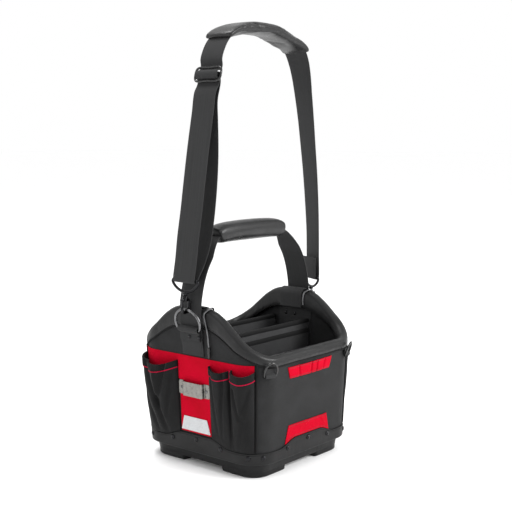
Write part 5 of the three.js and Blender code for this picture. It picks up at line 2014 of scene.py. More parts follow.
@dataclass
class TapeClip(SubAssembly):
    """Sheet metal clip with a raised plate, held by two rivets."""

    length: float = 73.0
    height: float = 25.0
    metal: float = 1.2
    standoff: float = 6.5
    plate: float = 41.0
    middle: float = 141.5
    on_panel: float = PANEL_FACE
    rivet: float = 3.0
    rivet_height: float = 1.6
    rivet_inset: float = 8.0
    corner: float = 4.0

    def build(self) -> None:
        """Builds the clip and its rivets."""
        half, step = self.plate / 2, self.standoff / 2
        profile = Curve([
            (-self.length / 2, 0), (-self.length / 2 + 3, 0), (-half - step - 4, 0),
            (-half - step - 0.6, 0.2), (-half - 0.4, self.standoff - 0.3),
            (-half + 2.2, self.standoff), (0, self.standoff),
            (half - 2.2, self.standoff), (half + 0.4, self.standoff - 0.3), (half + step + 0.6, 0.2),
            (half + step + 4, 0), (self.length / 2 - 3, 0), (self.length / 2, 0),
        ]).line(8)
        run = lengths(profile)
        corner = self.corner
        rings = []
        for i, (x, lift) in enumerate(profile):
            near_end = min(run[i], run[-1] - run[i])
            trim = corner - math.sqrt(max(corner ** 2 - max(corner - near_end, 0.0) ** 2, 0.0))
            ahead = profile[min(i + 1, len(profile) - 1)] - profile[max(i - 1, 0)]
            ahead = ahead / np.linalg.norm(ahead)
            rings.append([(x, y, lift, -ahead[1], ahead[0])
                          for y in np.linspace(-1, 1, 13) * (self.height / 2 - trim)])
        rings = np.array(rings)
        frame = self.wall.frame(0.0, self.middle, self.on_panel)

        def layer(rise: float) -> Array:
            """Gives a face of the clip's metal.

            Args:
                rise: Its distance from the inner face.

            Returns:
                Its points.
            """
            points = rings[..., :3].copy()
            points[..., 0] += rings[..., 3] * rise
            points[..., 2] += rings[..., 4] * rise
            return moved(points.reshape(-1, 3), frame).reshape(points.shape)

        made = Skin()
        made.sheet(layer(self.metal), layer(0.0), run, lengths(layer(0.0)[len(rings) // 2]))
        self.bench.piece("clip_plate", made, "clip_steel", replaces=("tape_clip",), crease=SHEET_CREASE)
        for name, sign in (("clip_rivet_left", -1), ("clip_rivet_right", 1)):
            place = sign * (self.length / 2 - self.rivet_inset)
            seat = self.wall.frame(place, self.middle, self.on_panel + self.metal)
            self.sewing.rivets(f"{name}_head", [seat], "steel", "dark_metal", self.rivet, self.rivet_height,
                               replaces=(name,))


@dataclass
class Handle(SubAssembly):
    """Folded webbing handle with its padded grip, and the webbing over the rim under it."""

    width: float = STRAP_WIDTH
    web: float = HANDLE_WEB
    rise: float = 124.0
    bottom: float = 202.0
    gap: float = GAP
    folded: float = 0.56
    bar: float = RING_BAR
    tail: float = LOOP_TAIL
    grip_rows: float = 2.8
    grip_size: tuple[float, float] = (38.0, 33.0)
    wrap_width: float = 52.0
    wrap: float = 1.8
    wrap_drop: float = 24.0
    patch: tuple[float, float, float] = (76.0, 46.0, 1.4)
    seam: float = 21.0
    seam_lift: float = 1.3 + 0.15

    def path(self) -> StrapPath:
        """Lays the handle's route from one face over to the other.

        Returns:
            The route.
        """
        wall = self.wall
        foot = self.gap + self.web / 2
        over = wall.rim_proud + foot
        peak = wall.crest(0.0)
        half_span = wall.length / 2 + wall.lean(peak) + over
        loop_foot = self.bar - self.tail

        def face(z: float, out: float) -> Row:
            """Gives a row at a height and a distance from the near wall."""
            return Row(-(wall.length / 2 + wall.lean(z) + out), z)

        arch = (
            (1, 0.02, 1), (0.975, 0.21, 1), (0.935, 0.38, 1), (0.88, 0.53, 1), (0.8, 0.68, 1),
            (0.7, 0.84, 0.75), (0.6, 0.94, self.folded), (0.47, 0.982, self.folded),
            (0.24, 0.998, self.folded), (0, 1, self.folded),
        )
        half = [
            face(self.bottom, foot),
            face(self.bottom + (loop_foot - self.bottom) * 0.4, foot),
            face(self.bottom + (loop_foot - self.bottom) * 0.9, over),
            face(self.bar, over),
            face((self.bar + peak) / 2, over),
            *(Row(-reach * half_span, peak + up * self.rise, wide=wide) for reach, up, wide in arch),
        ]
        return StrapPath(half + [Row(-row.x, row.z, wide=row.wide) for row in half[-2::-1]])

    def build(self) -> None:
        """Builds the handle, its grip and what lies under it."""
        path = self.path()
        strap = path.ribbon(0, path.last, self.width, self.web, cup=0.8)
        self.bench.piece("handle_strap", strap, "webbing", replaces=("handle_webbing",), crease=SHEET_CREASE)
        lines = []
        for start, end in ((0.15, 2.4), (path.last - 2.4, path.last - 0.15)):
            for across in (-self.seam, self.seam):
                lines.append(np.array([path.point(i, across, self.seam_lift)
                                       for i in np.linspace(start, end, 30)]))
        self.sewing.stitches("handle_stitches", lines, "webbing", 3.6)
        middle = path.last / 2
        grip = path.sleeve(
            middle - self.grip_rows, middle + self.grip_rows, *self.grip_size,
            lambda s: (1 - 0.1 * abs(2 * s - 1) ** 6, 1 - 0.16 * abs(2 * s - 1) ** 6), power=0.75, steps=14)
        made = Puff(voxel=3.2, cap=3.0, extra=0.05).fill(self.bench, self.bench.mesh("grip_cover", grip))
        self.bench.finish(made, "grip_leather", replaces=("handle_grip",), crease=WIRE_CREASE)
        for side, quarter in Side.both():
            self.under(side, self.wall.face(quarter))

    def under(self, side: str, place: float) -> None:
        """Builds the webbing over the rim and the patch inside it.

        Args:
            side: Near or far.
            place: The face's middle.
        """
        lift = self.gap + self.wrap / 2 + 0.4
        angles = [(angle, 0.0) for angle in (70, 90, 115, 140, 165, 180)]
        angles += [(180, self.wrap_drop / 2), (180, self.wrap_drop)]
        points = [self.wall.round_rim(place, angle, drop, lift) for angle, drop in angles]
        path = StrapPath([Row(point[0], point[2]) for point in points])
        self.bench.piece(f"{side}_rim_webbing", path.ribbon(0, path.last, self.wrap_width, self.wrap),
                         "webbing", replaces=(f"{side}_rim_wrap",), crease=SHEET_CREASE)
        width, height, cloth = self.patch
        top = self.wall.top(place) - 3.0
        sheet = WallCloth(self.wall, lambda v: place - width / 2, lambda v: place + width / 2,
                          lambda u, p: top - height, lambda u, p: top, -3.3 - cloth, cloth, wrinkle=0.0)
        made = self.bench.piece(f"{side}_inside_patch", sheet.skin(40, 24), "webbing",
                                replaces=(f"{side}_inner_patch",))
        sheet.declare(made, Held.STRETCHED)


@dataclass
class StrapRings(SubAssembly):
    """Steel rings that carry the shoulder strap, their webbing loops and rivets."""

    width: float = 57.0
    depth: float = 36.0
    wire: float = 2.5
    bar: float = RING_BAR
    leans: tuple[float, float] = (10.0, 80.0)
    loop_width: float = 46.0
    web: float = 1.8
    tail: float = LOOP_TAIL
    handle_web: float = HANDLE_WEB
    gap: float = GAP
    rivet: float = 3.2
    rivet_height: float = 1.6
    rivet_pitch: float = 22.0
    rivet_drop: float = 13.0
    inner_face: float = -4.9

    @property
    def handle_face(self) -> float:
        """Distance of the handle webbing's outer face from the wall."""
        return self.wall.rim_proud + self.gap + self.handle_web

    @property
    def out(self) -> float:
        """Distance of the ring's bar from the wall."""
        return self.handle_face + self.gap + self.web + 3 * self.gap + self.wire

    def build(self) -> None:
        """Builds the rings of both faces."""
        for (side, quarter), lean in zip(Side.both(), self.leans):
            place = self.wall.face(quarter)
            frame = self.wall.frame(place, self.bar, self.out)
            ring = Skin()
            turn = Matrix.Rotation(math.radians(lean), 4, "X")
            line = moved(ring_line(self.width, self.depth), frame @ turn)
            ring.tube(line, self.wire, sides=WIRE_SIDES, loop=True)
            self.bench.piece(f"{side}_ring", ring, "steel", replaces=(f"{side}_strap_ring",),
                             crease=WIRE_CREASE)
            back = -self.out + self.handle_face + self.gap + self.web / 2
            loop = loop_path(self.wire + 3 * self.gap + self.web / 2, back, self.web, self.gap, -self.tail,
                             (180, 150, 120, 90, 60, 30, 0, -30, -60), -1.5)
            laid = loop.ribbon(0, loop.last, self.loop_width, self.web)
            place_loop(laid, frame)
            self.bench.piece(f"{side}_ring_webbing", laid, "webbing",
                             replaces=(f"{side}_ring_loop",), crease=SHEET_CREASE)
            height = self.bar - self.rivet_drop
            head_face = self.handle_face + 2 * self.gap + 2 * self.web + 0.2
            outer = [self.wall.frame(place + step * self.rivet_pitch, height, head_face) for step in (0, 1)]
            self.sewing.rivets(f"{side}_loop_rivets", outer, "dark_metal", "dark_metal", self.rivet,
                               self.rivet_height,
                               replaces=(f"{side}_loop_rivet_first", f"{side}_loop_rivet_second"))
            inner = [self.wall.frame(place + step * self.rivet_pitch, height, self.inner_face)
                     for step in (0, 1)]
            self.sewing.rivets(f"{side}_inner_rivets", inner, "dark_metal", "dark_metal", self.rivet,
                               self.rivet_height,
                               replaces=(f"{side}_inner_rivet_first", f"{side}_inner_rivet_second"))


def ring_line(width: float, depth: float) -> Array:
    """Gives the middle line of a D-shaped ring, with its bar on the X axis.

    Args:
        width: The bar's length.
        depth: The arch's depth.

    Returns:
        Its points.
    """
    half, shoulder = width / 2, 0.3 * depth
    points = [(share * half, 0, 0) for share in (-0.86, -0.4, 0.4, 0.86)]
    for i in range(9):
        angle = math.pi * i / 8
        points.append((half * math.cos(angle), shoulder + (depth - shoulder) * math.sin(angle), 0))
    return Curve(points, loop=True).line(8)


def loop_path(radius: float, back: float, web: float, gap: float, tail: float,
              angles: Sequence[float], bend: float) -> StrapPath:
    """Gives the route of webbing folded round a bar, with both its ends on the wall's side.

    Args:
        radius: The fold's radius.
        back: How far out the end against the wall lies.
        web: The webbing's thickness.
        gap: The space between its layers.
        tail: Where its ends lie up the wall.
        angles: Degrees round the bar.
        bend: Where the front layer meets the fold, in radii.

    Returns:
        The route.
    """
    front = back + web + gap
    half = tail / 2 if abs(tail) / 2 > radius else tail * 0.9
    rows = [Row(back, tail), Row(back, half), Row(back, math.copysign(radius, tail))]
    for angle in angles:
        turn = math.radians(angle)
        rows.append(Row(radius * math.cos(turn), radius * math.sin(turn)))
    rows += [Row(front + gap, bend * radius), Row(front, math.copysign(max(abs(half), 1.7 * radius), tail)),
             Row(front, tail)]
    return StrapPath(rows)


def place_loop(skin: Skin, frame: Matrix) -> None:
    """Turns a loop made in the XZ plane onto the wall, at a frame on its bar."""
    turn = Matrix(((0, 1, 0, 0), (0, 0, 1, 0), (1, 0, 0, 0), (0, 0, 0, 1)))
    skin.points = [moved(points, frame @ turn) for points in skin.points]


@dataclass
class RimWires(SubAssembly):
    """Wires hooked over the rim beside the handle, with a sleeve on each."""

    wire: float = 1.7
    gap: float = GAP
    sleeve: float = 2.6
    sleeve_length: float = 20.0

    def build(self) -> None:
        """Builds both wires."""
        route = (
            (31, 180, 18), (30, 180, 8), (32, 155, 0), (36, 120, 0), (38, 85, 0), (36, 45, 0), (32, 10, 0),
            (33, 0, 8), (38, 0, 28), (40, 0, 52),
        )
        for (side, quarter), way in zip(Side.both(), (1, -1)):
            middle = self.wall.face(quarter)
            lift = self.gap + self.wire + 0.3
            points = [self.wall.round_rim(middle + way * shift, angle, drop, lift)
                      for shift, angle, drop in route]
            line = Curve(points).line(8)
            made = Skin()
            made.tube(line, self.wire, sides=14)
            self.bench.piece(f"{side}_wire", made, "steel", replaces=(f"{side}_rim_wire",),
                             crease=WIRE_CREASE)
            end = line[-1]
            inwards = -np.array((end[0], end[1], 0.0)) / math.hypot(end[0], end[1])
            slope = self.wall.lean(self.wall.lip_low + 1) * self.sleeve_length
            foot = end + inwards * slope - np.array((0, 0, self.sleeve_length))
            shares = np.array([0, 0.03, 0.1, 0.5, 0.9, 0.97, 1])
            path = end + shares[:, None] * (foot - end)
            widths = self.sleeve * np.array([0.7, 0.92, 1, 1, 1, 0.92, 0.7])
            tip = Skin()
            tip.tube(path, widths, sides=WIRE_SIDES)
            self.bench.piece(f"{side}_wire_tip", tip, "black_plastic",
                             replaces=(f"{side}_wire_sleeve",), crease=SHEET_CREASE)


@dataclass
class CornerRings(SubAssembly):
    """Small plastic rings near the front corners, held by webbing tabs."""

    width: float = 24.0
    depth: float = 24.0
    wire: float = 1.9
    bar: float = 181.0
    lean: float = 15.0
    tab_width: float = 19.0
    web: float = 1.5
    tab: float = 12.0
    offset: float = 19.0
    gap: float = GAP

    def build(self) -> None:
        """Builds both rings."""
        wall = self.wall
        out = self.gap + self.web + 2 * self.gap + self.wire
        second = wall.corner + wall.straight_x + wall.arc
        for side, place in (("left", wall.corner + self.offset), ("right", second - self.offset)):
            frame = wall.frame(place, self.bar, out)
            turn = Matrix.Rotation(math.radians(self.lean), 4, "X")
            ring = Skin()
            line = moved(ring_line(self.width, self.depth), frame @ turn)
            ring.tube(line, self.wire, sides=WIRE_SIDES, loop=True)
            self.bench.piece(f"{side}_ring_plastic", ring, "black_plastic",
                             body=f"corner_ring_{side}", replaces=(f"{side}_corner_ring",),
                             crease=WIRE_CREASE)
            radius = self.wire + 2 * self.gap + self.web / 2
            back = -out + self.gap + self.web / 2
            rows = [Row(back, self.tab), Row(back, radius)]
            for angle in (-180, -150, -120, -90, -60, -30, 0, 30, 60):
                around = math.radians(angle)
                rows.append(Row(radius * math.cos(around), radius * math.sin(around)))
            front = back + self.web + self.gap
            rows += [Row(front + self.gap, 1.6 * radius), Row(front, self.tab)]
            path = StrapPath(rows)
            laid = path.ribbon(0, path.last, self.tab_width, self.web)
            place_loop(laid, frame)
            self.bench.piece(f"{side}_tab_webbing", laid, "webbing",
                             replaces=(f"{side}_corner_tab",), crease=SHEET_CREASE)


@dataclass
class SnapHooks(SubAssembly):
    """Swivel snap hooks between the steel rings and the shoulder strap."""

    eye_wire: float = EYE_WIRE
    eye_height: float = 25.0
    hook_wire: float = 2.6
    half: float = 8.0
    drop: float = 25.0
    collar: float = 5.0
    collar_top: float = -2.5
    collar_length: float = 8.0
    stem: float = 2.0
    ball: float = 4.2
    gate: float = 1.8
    barrel: float = 2.4
    barrel_width: float = 3.6
    pivot_drop: float = 8.5
    ear: float = 1.4
    edge: float = 0.3
    strap_half: float = 29.4
    spins: tuple[float, float] = (0.0, 180.0)
    eye_turns: tuple[float, float] = (0.0, -25.0)

    def build(self, rings: StrapRings) -> dict[str, Vector]:
        """Builds both hooks.

        Args:
            rings: The rings that hold them.

        Returns:
            The swivel's origin of each side.
        """
        frame = self.wall.frame(0.0, rings.bar, rings.out)
        origins = {}
        for (side, _), lean, spin, eye_turn in zip(Side.both(), rings.leans, self.spins, self.eye_turns):
            turn = math.radians(lean)
            held = frame @ Vector((0, rings.depth * math.cos(turn), rings.depth * math.sin(turn)))
            origin = held + Vector((0, 0, self.drop))
            if side == "far":
                origin.x = -origin.x
            origins[side] = origin
            self.add_eye(side, Matrix.Translation(origin) @ Matrix.Rotation(math.radians(eye_turn), 4, "Z"))
            place = Matrix.Translation(origin) @ Matrix.Rotation(math.radians(spin), 4, "Z")
            self.add_body(side, place, rings.wire)
            self.add_gate(side, place)
        return origins

    def pin(self, half: float) -> list[tuple[float, float]]:
        """Gives the profile of a short pin with eased edges at the gate's pivot.

        Args:
            half: Half the pin's length.

        Returns:
            Radius and height pairs.
        """
        rim, ease = self.barrel, self.edge
        return [(0, -half), (rim - ease, -half), (rim, -half + ease), (rim, half - ease), (rim - ease, half),
                (0, half)]

    def add_eye(self, side: str, place: Matrix) -> None:
        """Builds the eye that the strap folds round.

        Args:
            side: Near or far.
            place: Where the swivel stands.
        """
        rows = ((0.3, 0.24), (0.68, 0.44), (0.93, 0.7), (1, 0.88), (0.94, 1), (0.5, 1))
        half, high = self.strap_half, self.eye_height
        points = [(0, 0, 0.2 * high), *((0, a * half, r * high) for a, r in rows), (0, 0, high),
                  *((0, -a * half, r * high) for a, r in rows[::-1])]
        made = Skin()
        made.tube(moved(Curve(points, loop=True).line(8), place), self.eye_wire, sides=WIRE_SIDES, loop=True)
        low = self.collar_top + 0.3
        profile = [(0, low)]
        for i in range(1, 12):
            angle = math.pi * i / 12
            profile.append((self.ball * math.sin(angle), low + self.ball * (1 - math.cos(angle))))
        profile.append((0, low + 2 * self.ball))
        made.lathe(profile, 28, place)
        bottom = self.collar_top - self.collar_length / 2
        made.lathe([(0, bottom), (self.stem, bottom), (self.stem, 0.0), (0, 0.0)], 20, place)
        self.bench.piece(f"{side}_hook_eye", made, "dark_metal",
                         replaces=(f"{side}_snap_eye",), crease=60)

    def add_body(self, side: str, place: Matrix, ring_wire: float) -> None:
        """Builds the hook with its collar and ears.

        Args:
            side: Near or far.
            place: Where the swivel stands.
            ring_wire: Radius of the ring's wire.
        """
        low = -self.drop - ring_wire - 0.3 - self.hook_wire
        top, drop, half = self.collar_top, self.drop, self.half
        line = Curve([
            (0.3 * half, 0, top - 0.6 * self.collar_length), (0.92 * half, 0, top - self.collar_length),
            (half, 0, -0.7 * drop), (half, 0, -drop), (0.7 * half, 0, -0.3 * drop + 0.7 * low), (0, 0, low),
            (-0.7 * half, 0, -0.3 * drop + 0.7 * low), (-half, 0, -drop), (-half, 0, -drop + 3),
        ]).line(8)
        made = Skin()
        made.tube(moved(line, place), self.hook_wire, sides=WIRE_SIDES)
        r, base = self.collar, top - self.collar_length
        made.lathe([(0, base), (r - 0.8, base), (r, base + 0.8), (r, top - 2.4), (r - 0.7, top - 2.0),
                    (r - 0.7, top - 1.5), (r, top - 1.1), (r - 0.6, top), (self.stem + 0.4, top),
                    (0, top - 0.4)], 28, place)
        for sign in (-1, 1):
            across = sign * (self.barrel_width / 2 + 0.3 + self.ear / 2)
            seat = (Matrix.Translation((-half + 0.5, across, -self.pivot_drop))
                    @ Matrix.Rotation(math.pi / 2, 4, "X"))
            made.lathe(self.pin(self.ear / 2), 24, place @ seat)
        self.bench.piece(f"{side}_hook_body", made, "dark_metal", body=f"hook_{side}",
                         replaces=(f"{side}_snap_body",), crease=SHEET_CREASE)

    def add_gate(self, side: str, place: Matrix) -> None:
        """Builds the spring gate.

        Args:
            side: Near or far.
            place: Where the swivel stands.
        """
        x, top = -self.half + 0.5, -self.pivot_drop
        foot = -self.drop + 3.3
        r = self.gate
        made = Skin()
        made.lathe([(0, foot), (r - 0.5, foot), (r, foot + 0.5), (r, top), (0, top)], 20,
                   place @ Matrix.Translation((x, 0, 0)))
        seat = Matrix.Translation((x, 0, top)) @ Matrix.Rotation(math.pi / 2, 4, "X")
        made.lathe(self.pin(self.barrel_width / 2), 24, place @ seat)
        self.bench.piece(f"{side}_hook_gate", made, "dark_metal", body=f"gate_{side}",
                         replaces=(f"{side}_snap_gate",), crease=SHEET_CREASE)


@dataclass
class ShoulderStrap(SubAssembly):
    """Shoulder strap with its adjuster and pad."""

    width: float = STRAP_WIDTH
    web: float = 2.0
    top: float = 767.0
    apex: float = 25.0
    adjuster_wire: float = 2.0
    adjuster_height: float = 23.0
    pad: tuple[float, float] = (66.0, 14.0)
    pad_rows: tuple[float, float] = (5.0, 5.2)
    turn: float = 25.0
    tail: float = 38.0
    adjuster_corner: float = 0.35
    gap: float = GAP
    eye_wire: float = EYE_WIRE

    inner_layer = ((0.3, 0.7), (0.302, 0.62), (0.306, 0.54), (0.302, 0.45), (0.28, 0.34), (0.243, 0.23),
        (0.19, 0.13), (0.115, 0.06))
    outer_layer = ((0.012, 0.08), (0.042, 0.17), (0.084, 0.265), (0.12, 0.36), (0.157, 0.455),
        (0.197, 0.55), (0.243, 0.65), (0.277, 0.73))
    adjuster_place = (0.318, 0.8)
    upper = ((0.363, 0.862), (0.41, 0.909), (0.47, 0.942), (0.56, 0.967), (0.68, 0.984), (0.8, 0.994),
        (0.9, 0.999))
    far = ((0.83, 0.996, 0), (0.68, 0.981, 0), (0.54, 0.963, 0), (0.42, 0.946, 0), (0.33, 0.926, 0),
        (0.265, 0.888, 0.1), (0.213, 0.832, 0.3), (0.17, 0.757, 0.5), (0.121, 0.66, 0.65),
        (0.077, 0.552, 0.75), (0.035, 0.444, 0.82), (-0.002, 0.315, 0.9), (-0.025, 0.19, 1),
        (-0.03, 0.1, 1))

    def route(self, table: Sequence[Sequence[float]], bar: Vector) -> list[Row]:
        """Gives rows of a table of shares from an eye's bar to the strap's highest point."""
        return [Row(bar.x + (self.apex - bar.x) * row[0], bar.z + (self.top - bar.z) * row[1],
                    yaw=-(row[2] if len(row) > 2 else 0.0) * self.turn) for row in table]

    def beside(self, bar: Vector, away: float, above: float, yaw: float) -> Row:
        """Gives a row at a distance from an eye's bar, square to the bar, and above it."""
        turn = math.radians(yaw)
        return Row(bar.x + away * math.cos(turn), bar.z + above, away * math.sin(turn), yaw)

    def fold(self, bar: Vector, yaw: float) -> list[Row]:
        """Gives the rows round an eye's bar."""
        radius = self.eye_wire + self.gap + self.web / 2
        return [self.beside(bar, radius * math.cos(math.radians(a)), radius * math.sin(math.radians(a)), yaw)
                for a in (0, -45, -90, -135, -180)]

    def path(self, near: Vector, far: Vector) -> tuple[StrapPath, int, Row, float]:
        """Gives the strap's route.

        Args:
            near: The near eye's bar.
            far: The far eye's bar.

        Returns:
            The route, the number of its highest row, the adjuster's row and the adjuster's lean.
        """
        at = self.route([self.adjuster_place], near)[0]
        before, after = self.route([self.outer_layer[-1], self.upper[0]], near)
        lean = math.atan2(after.x - before.x, after.z - before.z)

        def beside(out: float, along: float) -> Row:
            """Gives a row beside the adjuster, out of the strap and along it."""
            return Row(at.x + along * math.sin(lean) - out * math.cos(lean),
                       at.z + along * math.cos(lean) + out * math.sin(lean))

        wrap = self.adjuster_wire + self.gap + self.web / 2
        over = wrap + self.web + self.gap
        pitch = self.adjuster_height / 2
        sewn = [beside(out * wrap, along * wrap) for out, along in (
            (0.7, -0.72), (1, 0), (0.7, 0.72), (0, 1), (-0.7, 0.72), (-1.15, -0.3))]
        sewn += [beside(out * wrap, along * pitch)
                 for out, along in ((-1.8, -0.55), (-2.35, -1.1), (-2.5, -1.7))]
        through = ((-1.4 * wrap, 1.5), (-1.4 * wrap, 1.0), (-0.74 * wrap, 0.71), (0.45 * wrap, 0.57),
                   (0.86 * over, 0.33))
        rows = sewn + self.route(self.inner_layer, near) + self.fold(near, 0.0)
        rows += self.route(self.outer_layer, near)
        rows += [beside(out, -along * pitch) for out, along in through]
        rows.append(beside(1.03 * over, 0.0))
        rows += [beside(out, along * pitch) for out, along in through[::-1]]
        rows += self.route(self.upper, near)
        apex = len(rows)
        rows.append(Row(self.apex, self.top))
        rows += self.route(self.far, far) + self.fold(far, -self.turn)
        out = -1.15 * (self.eye_wire + self.gap + self.web / 2)
        rows += [self.beside(far, out, above, -self.turn) for above in (self.tail / 2, self.tail)]
        return StrapPath(rows), apex, at, lean

    def build(self, origins: dict[str, Vector], eye_height: float) -> None:
        """Builds the strap between the hooks.

        Args:
            origins: Each swivel's origin.
            eye_height: How high the eye's bar lies above it.
        """
        near, far = (origins[side] + Vector((0, 0, eye_height)) for side in ("near", "far"))
        path, apex, at, lean = self.path(near, far)
        self.bench.piece("strap_near_webbing", path.ribbon(0, apex - 0.01, self.width, self.web), "webbing",
                         replaces=("strap_near", "strap_near_inner"), crease=SHEET_CREASE)
        self.bench.piece("strap_far_webbing", path.ribbon(apex + 0.01, path.last, self.width, self.web),
                         "webbing", replaces=("strap_far",), crease=SHEET_CREASE)
        self.add_adjuster(at, lean)
        cover = path.sleeve(
            apex - self.pad_rows[0], apex + self.pad_rows[1], *self.pad,
            lambda s: (0.86 + 0.14 * math.sin(math.pi * s) ** 0.25,
                       0.6 + 0.4 * math.sin(math.pi * s) ** 0.25), power=0.6)
        made = Puff(voxel=3.6, cap=4.0, extra=0.05).fill(self.bench, self.bench.mesh("pad_cover", cover))
        self.bench.finish(made, "grip_leather", replaces=("shoulder_pad",), crease=WIRE_CREASE)
        lines = []
        for across in (-self.pad[0] / 2 + 7, self.pad[0] / 2 - 7):
            indices = np.linspace(apex - self.pad_rows[0] + 0.3, apex + self.pad_rows[1] - 0.3, 80)
            lines.append(np.array([path.point(i, across, self.pad[1] / 2 - 0.4) for i in indices]))
        self.sewing.stitches("pad_stitches", lines, "grip_leather", 4.0)

    def add_adjuster(self, at: Row, lean: float) -> None:
        """Builds the adjuster's frame and middle bar.

        Args:
            at: Where its middle bar lies.
            lean: How far it leans from the upright.
        """
        half = self.width / 2 + self.adjuster_wire + 1.5
        high = self.adjuster_height / 2
        corner = self.adjuster_corner * high
        quarter = [(half - corner, -high), (half, -high + corner),
                   (half, high - corner), (half - corner, high)]
        outline = [(0, 0, -high), *((0, a, b) for a, b in quarter), (0, 0, high),
                   *((0, -a, b) for a, b in quarter[::-1])]
        place = Matrix.Translation((at.x, 0, at.z)) @ Matrix.Rotation(lean, 4, "Y")
        made = Skin()
        line = Curve(outline, loop=True).line(10)
        made.tube(moved(line, place), self.adjuster_wire, sides=16, loop=True)
        bar = np.array([(0, y, 0) for y in np.linspace(-half + 1, half - 1, 12)])
        made.tube(moved(bar, place), self.adjuster_wire, sides=16)
        self.bench.piece("adjuster_frame", made, "black_plastic",
                         replaces=("strap_adjuster",), crease=60)


@dataclass
class Dividers(SubAssembly):
    """Padded panels inside, with bound tops."""

    floor: float = 33.6
    top: float = 230.0
    centre: tuple[float, float] = (-30.0, 9.0)
    back: tuple[float, float] = (50.0, 6.0)
    pocket: tuple[float, float] = (3.0, 17.0)
    end_gap: float = 2.0
    wall_thickness: float = 3.0
    binding: float = 4.6

    def wave(self, share: float, z: float, middle: float) -> float:
        """Gives the soft sideways wave of a panel, which dies out at its ends."""
        return 1.4 * noise.noise(Vector((share * 3.2, z * 0.012, middle))) * (1 - share ** 4)

    def panel(self, middle: float, thickness: float, top: float, end_gap: float) -> Skin:
        """Makes an upright padded panel along X.

        Args:
            middle: Its place along Y.
            thickness: Its thickness.
            top: The height of its top.
            end_gap: The space at its ends.

        Returns:
            The panel.
        """
        made = Skin()
        rings = []
        for share in np.linspace(-1, 1, 61):
            ring = []
            swell = 1 + 0.1 * math.cos(math.pi * share * 2) if abs(share) < 1 else 1.0
            for side in (1, -1):
                for rise in np.linspace(0, 1, 21)[::side]:
                    z = self.floor + (top - self.floor) * rise
                    end = self.wall.length / 2 + self.wall.lean(z) - self.wall_thickness - end_gap
                    half = thickness / 2 * swell * (1 - max(rise - 0.97, 0) * 12)
                    ring.append((share * end, middle + self.wave(share, z, middle) - side * half, z))
            rings.append(ring)
        rings = np.array(rings)
        loop = np.vstack([rings[0], rings[0][:1]])
        made.form(rings, lengths(rings[:, 20]), lengths(loop))
        return made

    def build(self) -> None:
        """Builds the panels and their bindings."""
        # The panels' cloth and the pocket's lining are painted lighter than the outer cloth, as painted fill
        # light inside the tote.
        cloths = ("divider_painted_fill", "padded_fabric")
        panels = (
            ("centre", *self.centre, self.top, self.end_gap, "centre_divider", *cloths),
            ("back", *self.back, self.top, self.end_gap, "back_divider", *cloths),
            ("pocket", self.centre[0] - self.centre[1] / 2 - 0.5 - self.pocket[0] / 2, self.pocket[0],
             self.top - self.pocket[1], 6.0, "divider_pocket", "lining_painted_fill", "black_fabric"),
        )
        for name, middle, thickness, top, gap, node, finish, slot in panels:
            panel = self.panel(middle, thickness, top - 0.5, gap)
            made = self.bench.piece(f"{name}_panel", panel, finish, slot, replaces=(node,), crease=60)
            end = self.wall.length / 2 + self.wall.lean(top) - self.wall_thickness - 0.5 - gap
            path = [(share * end, middle + self.wave(share, top - 0.5, middle), top - 4.0)
                    for share in np.linspace(-1, 1, 61)]
            edge = Skin()
            edge.tube(np.array(path), self.binding, sides=20, flat=(thickness / 2 + 0.9) / self.binding,
                      lead=(0.0, 1.0, 0.0))
            self.bench.piece(f"{name}_panel_binding", edge, "binding", "black_fabric", crease=WIRE_CREASE)


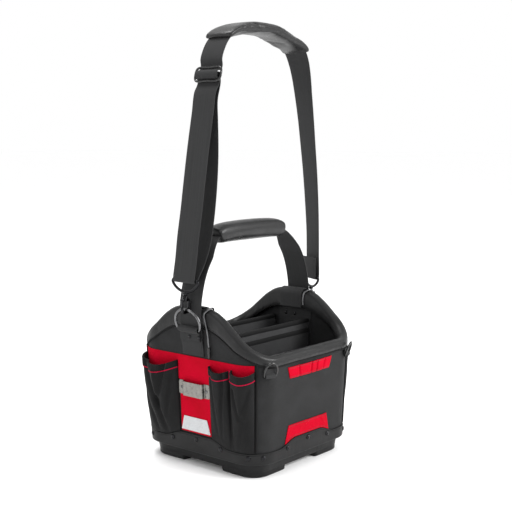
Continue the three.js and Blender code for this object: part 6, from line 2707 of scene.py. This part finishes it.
@dataclass
class Studio:
    """Floor, lights and camera of the photograph."""

    origin: Array
    place: tuple[float, float, float] = (-1356.97, -1167.83, 575.64)
    yaw: float = 40.24
    pitch: float = 6.85
    focal: float = 994.8
    frame: float = 512.0
    sensor: float = 36.0
    reach: float = 30.0

    def build(self) -> None:
        """Sets up the whole studio."""
        self.floor()
        self.world()
        self.light("front", (0.9, -2.2, 1.4), 1.2, 66.0)
        self.light("top", (-0.3, 0.6, 2.5), 1.0, 34.0)
        self.light("near", (-2.4, 0.9, 0.8), 0.7, 6.0)
        self.camera()

    def floor(self) -> None:
        """Lays a wide pale floor."""
        data = bpy.data.meshes.new("studio_floor")
        reach = self.reach
        corners = [(x * reach, y * reach, 0) for x, y in ((-1, -1), (1, -1), (1, 1), (-1, 1))]
        data.from_pydata(corners, [], [(0, 1, 2, 3)])
        floor = bpy.data.objects.new("studio_floor", data)
        bpy.context.scene.collection.objects.link(floor)
        graph = Graph("studio_floor")
        graph.surface(Base_Color=(1.0, 1.0, 1.0, 1.0), Roughness=0.9, Specular_IOR_Level=0.1)
        data.materials.append(graph.material)
        floor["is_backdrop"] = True

    def world(self) -> None:
        """Fills the room with even white light."""
        world = bpy.data.worlds.new("studio")
        world.use_nodes = True
        sky = world.node_tree.nodes["Background"]
        sky.inputs[0].default_value = (1.0, 1.0, 1.0, 1.0)
        sky.inputs[1].default_value = 1.0
        bpy.context.scene.world = world
        bpy.context.scene.view_settings.view_transform = "Standard"

    def light(self, name: str, place: tuple[float, float, float], size: float, power: float) -> None:
        """Adds a soft light that points at the tote.

        Args:
            name: Its name.
            place: Where it hangs, in metres.
            size: Its width.
            power: Its power in watts.
        """
        data = bpy.data.lights.new(name, "AREA")
        data.size = size
        data.energy = power
        lamp = bpy.data.objects.new(name, data)
        bpy.context.scene.collection.objects.link(lamp)
        lamp.location = place
        aim = Vector((0, 0, 0.3)) - Vector(place)
        lamp.rotation_euler = aim.to_track_quat("-Z", "Y").to_euler()

    def camera(self) -> None:
        """Sets the photograph's camera."""
        data = bpy.data.cameras.new("photo")
        data.sensor_width = self.sensor
        data.lens = self.focal * self.sensor / self.frame
        data.clip_end = 100.0
        camera = bpy.data.objects.new("photo", data)
        bpy.context.scene.collection.objects.link(camera)
        camera.location = np.array(self.place) * MM + self.origin
        yaw, pitch = math.radians(self.yaw), math.radians(self.pitch)
        aim = Vector((math.cos(yaw) * math.cos(pitch), math.sin(yaw) * math.cos(pitch), -math.sin(pitch)))
        camera.rotation_euler = aim.to_track_quat("-Z", "Y").to_euler()
        bpy.context.scene.camera = camera


def record_bounds(name: str, kept: dict[str, list[list[float]]]) -> None:
    """Adds the object's present box to those kept.

    Args:
        name: What the box is called.
        kept: The boxes so far.
    """
    low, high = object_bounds()
    kept[name] = [list(low), list(high)]


def main() -> None:
    """Builds the tote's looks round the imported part."""
    logging.basicConfig(level=logging.INFO, format="%(name)s %(message)s")
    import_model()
    sizes: dict[str, list[list[float]]] = {}
    record_bounds("cad", sizes)
    low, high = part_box("base_tray")
    origin = np.array(((low.x + high.x) / 2, (low.y + high.y) / 2, 0.0))
    bench = Bench(origin)
    sewing = Sewing(bench)
    kit = (bench, sewing, Wall())
    for kind in (BaseTray, BodyShell, Rim, WallPanels, Pockets, TapeClip, Handle):
        kind(*kit).build()
    rings = StrapRings(*kit)
    rings.build()
    for kind in (RimWires, CornerRings, Dividers):
        kind(*kit).build()
    hooks = SnapHooks(*kit)
    origins = hooks.build(rings)
    ShoulderStrap(*kit).build(origins, hooks.eye_height)
    Studio(origin).build()
    record_bounds("scene", sizes)


if __name__ == "__main__":
    main()
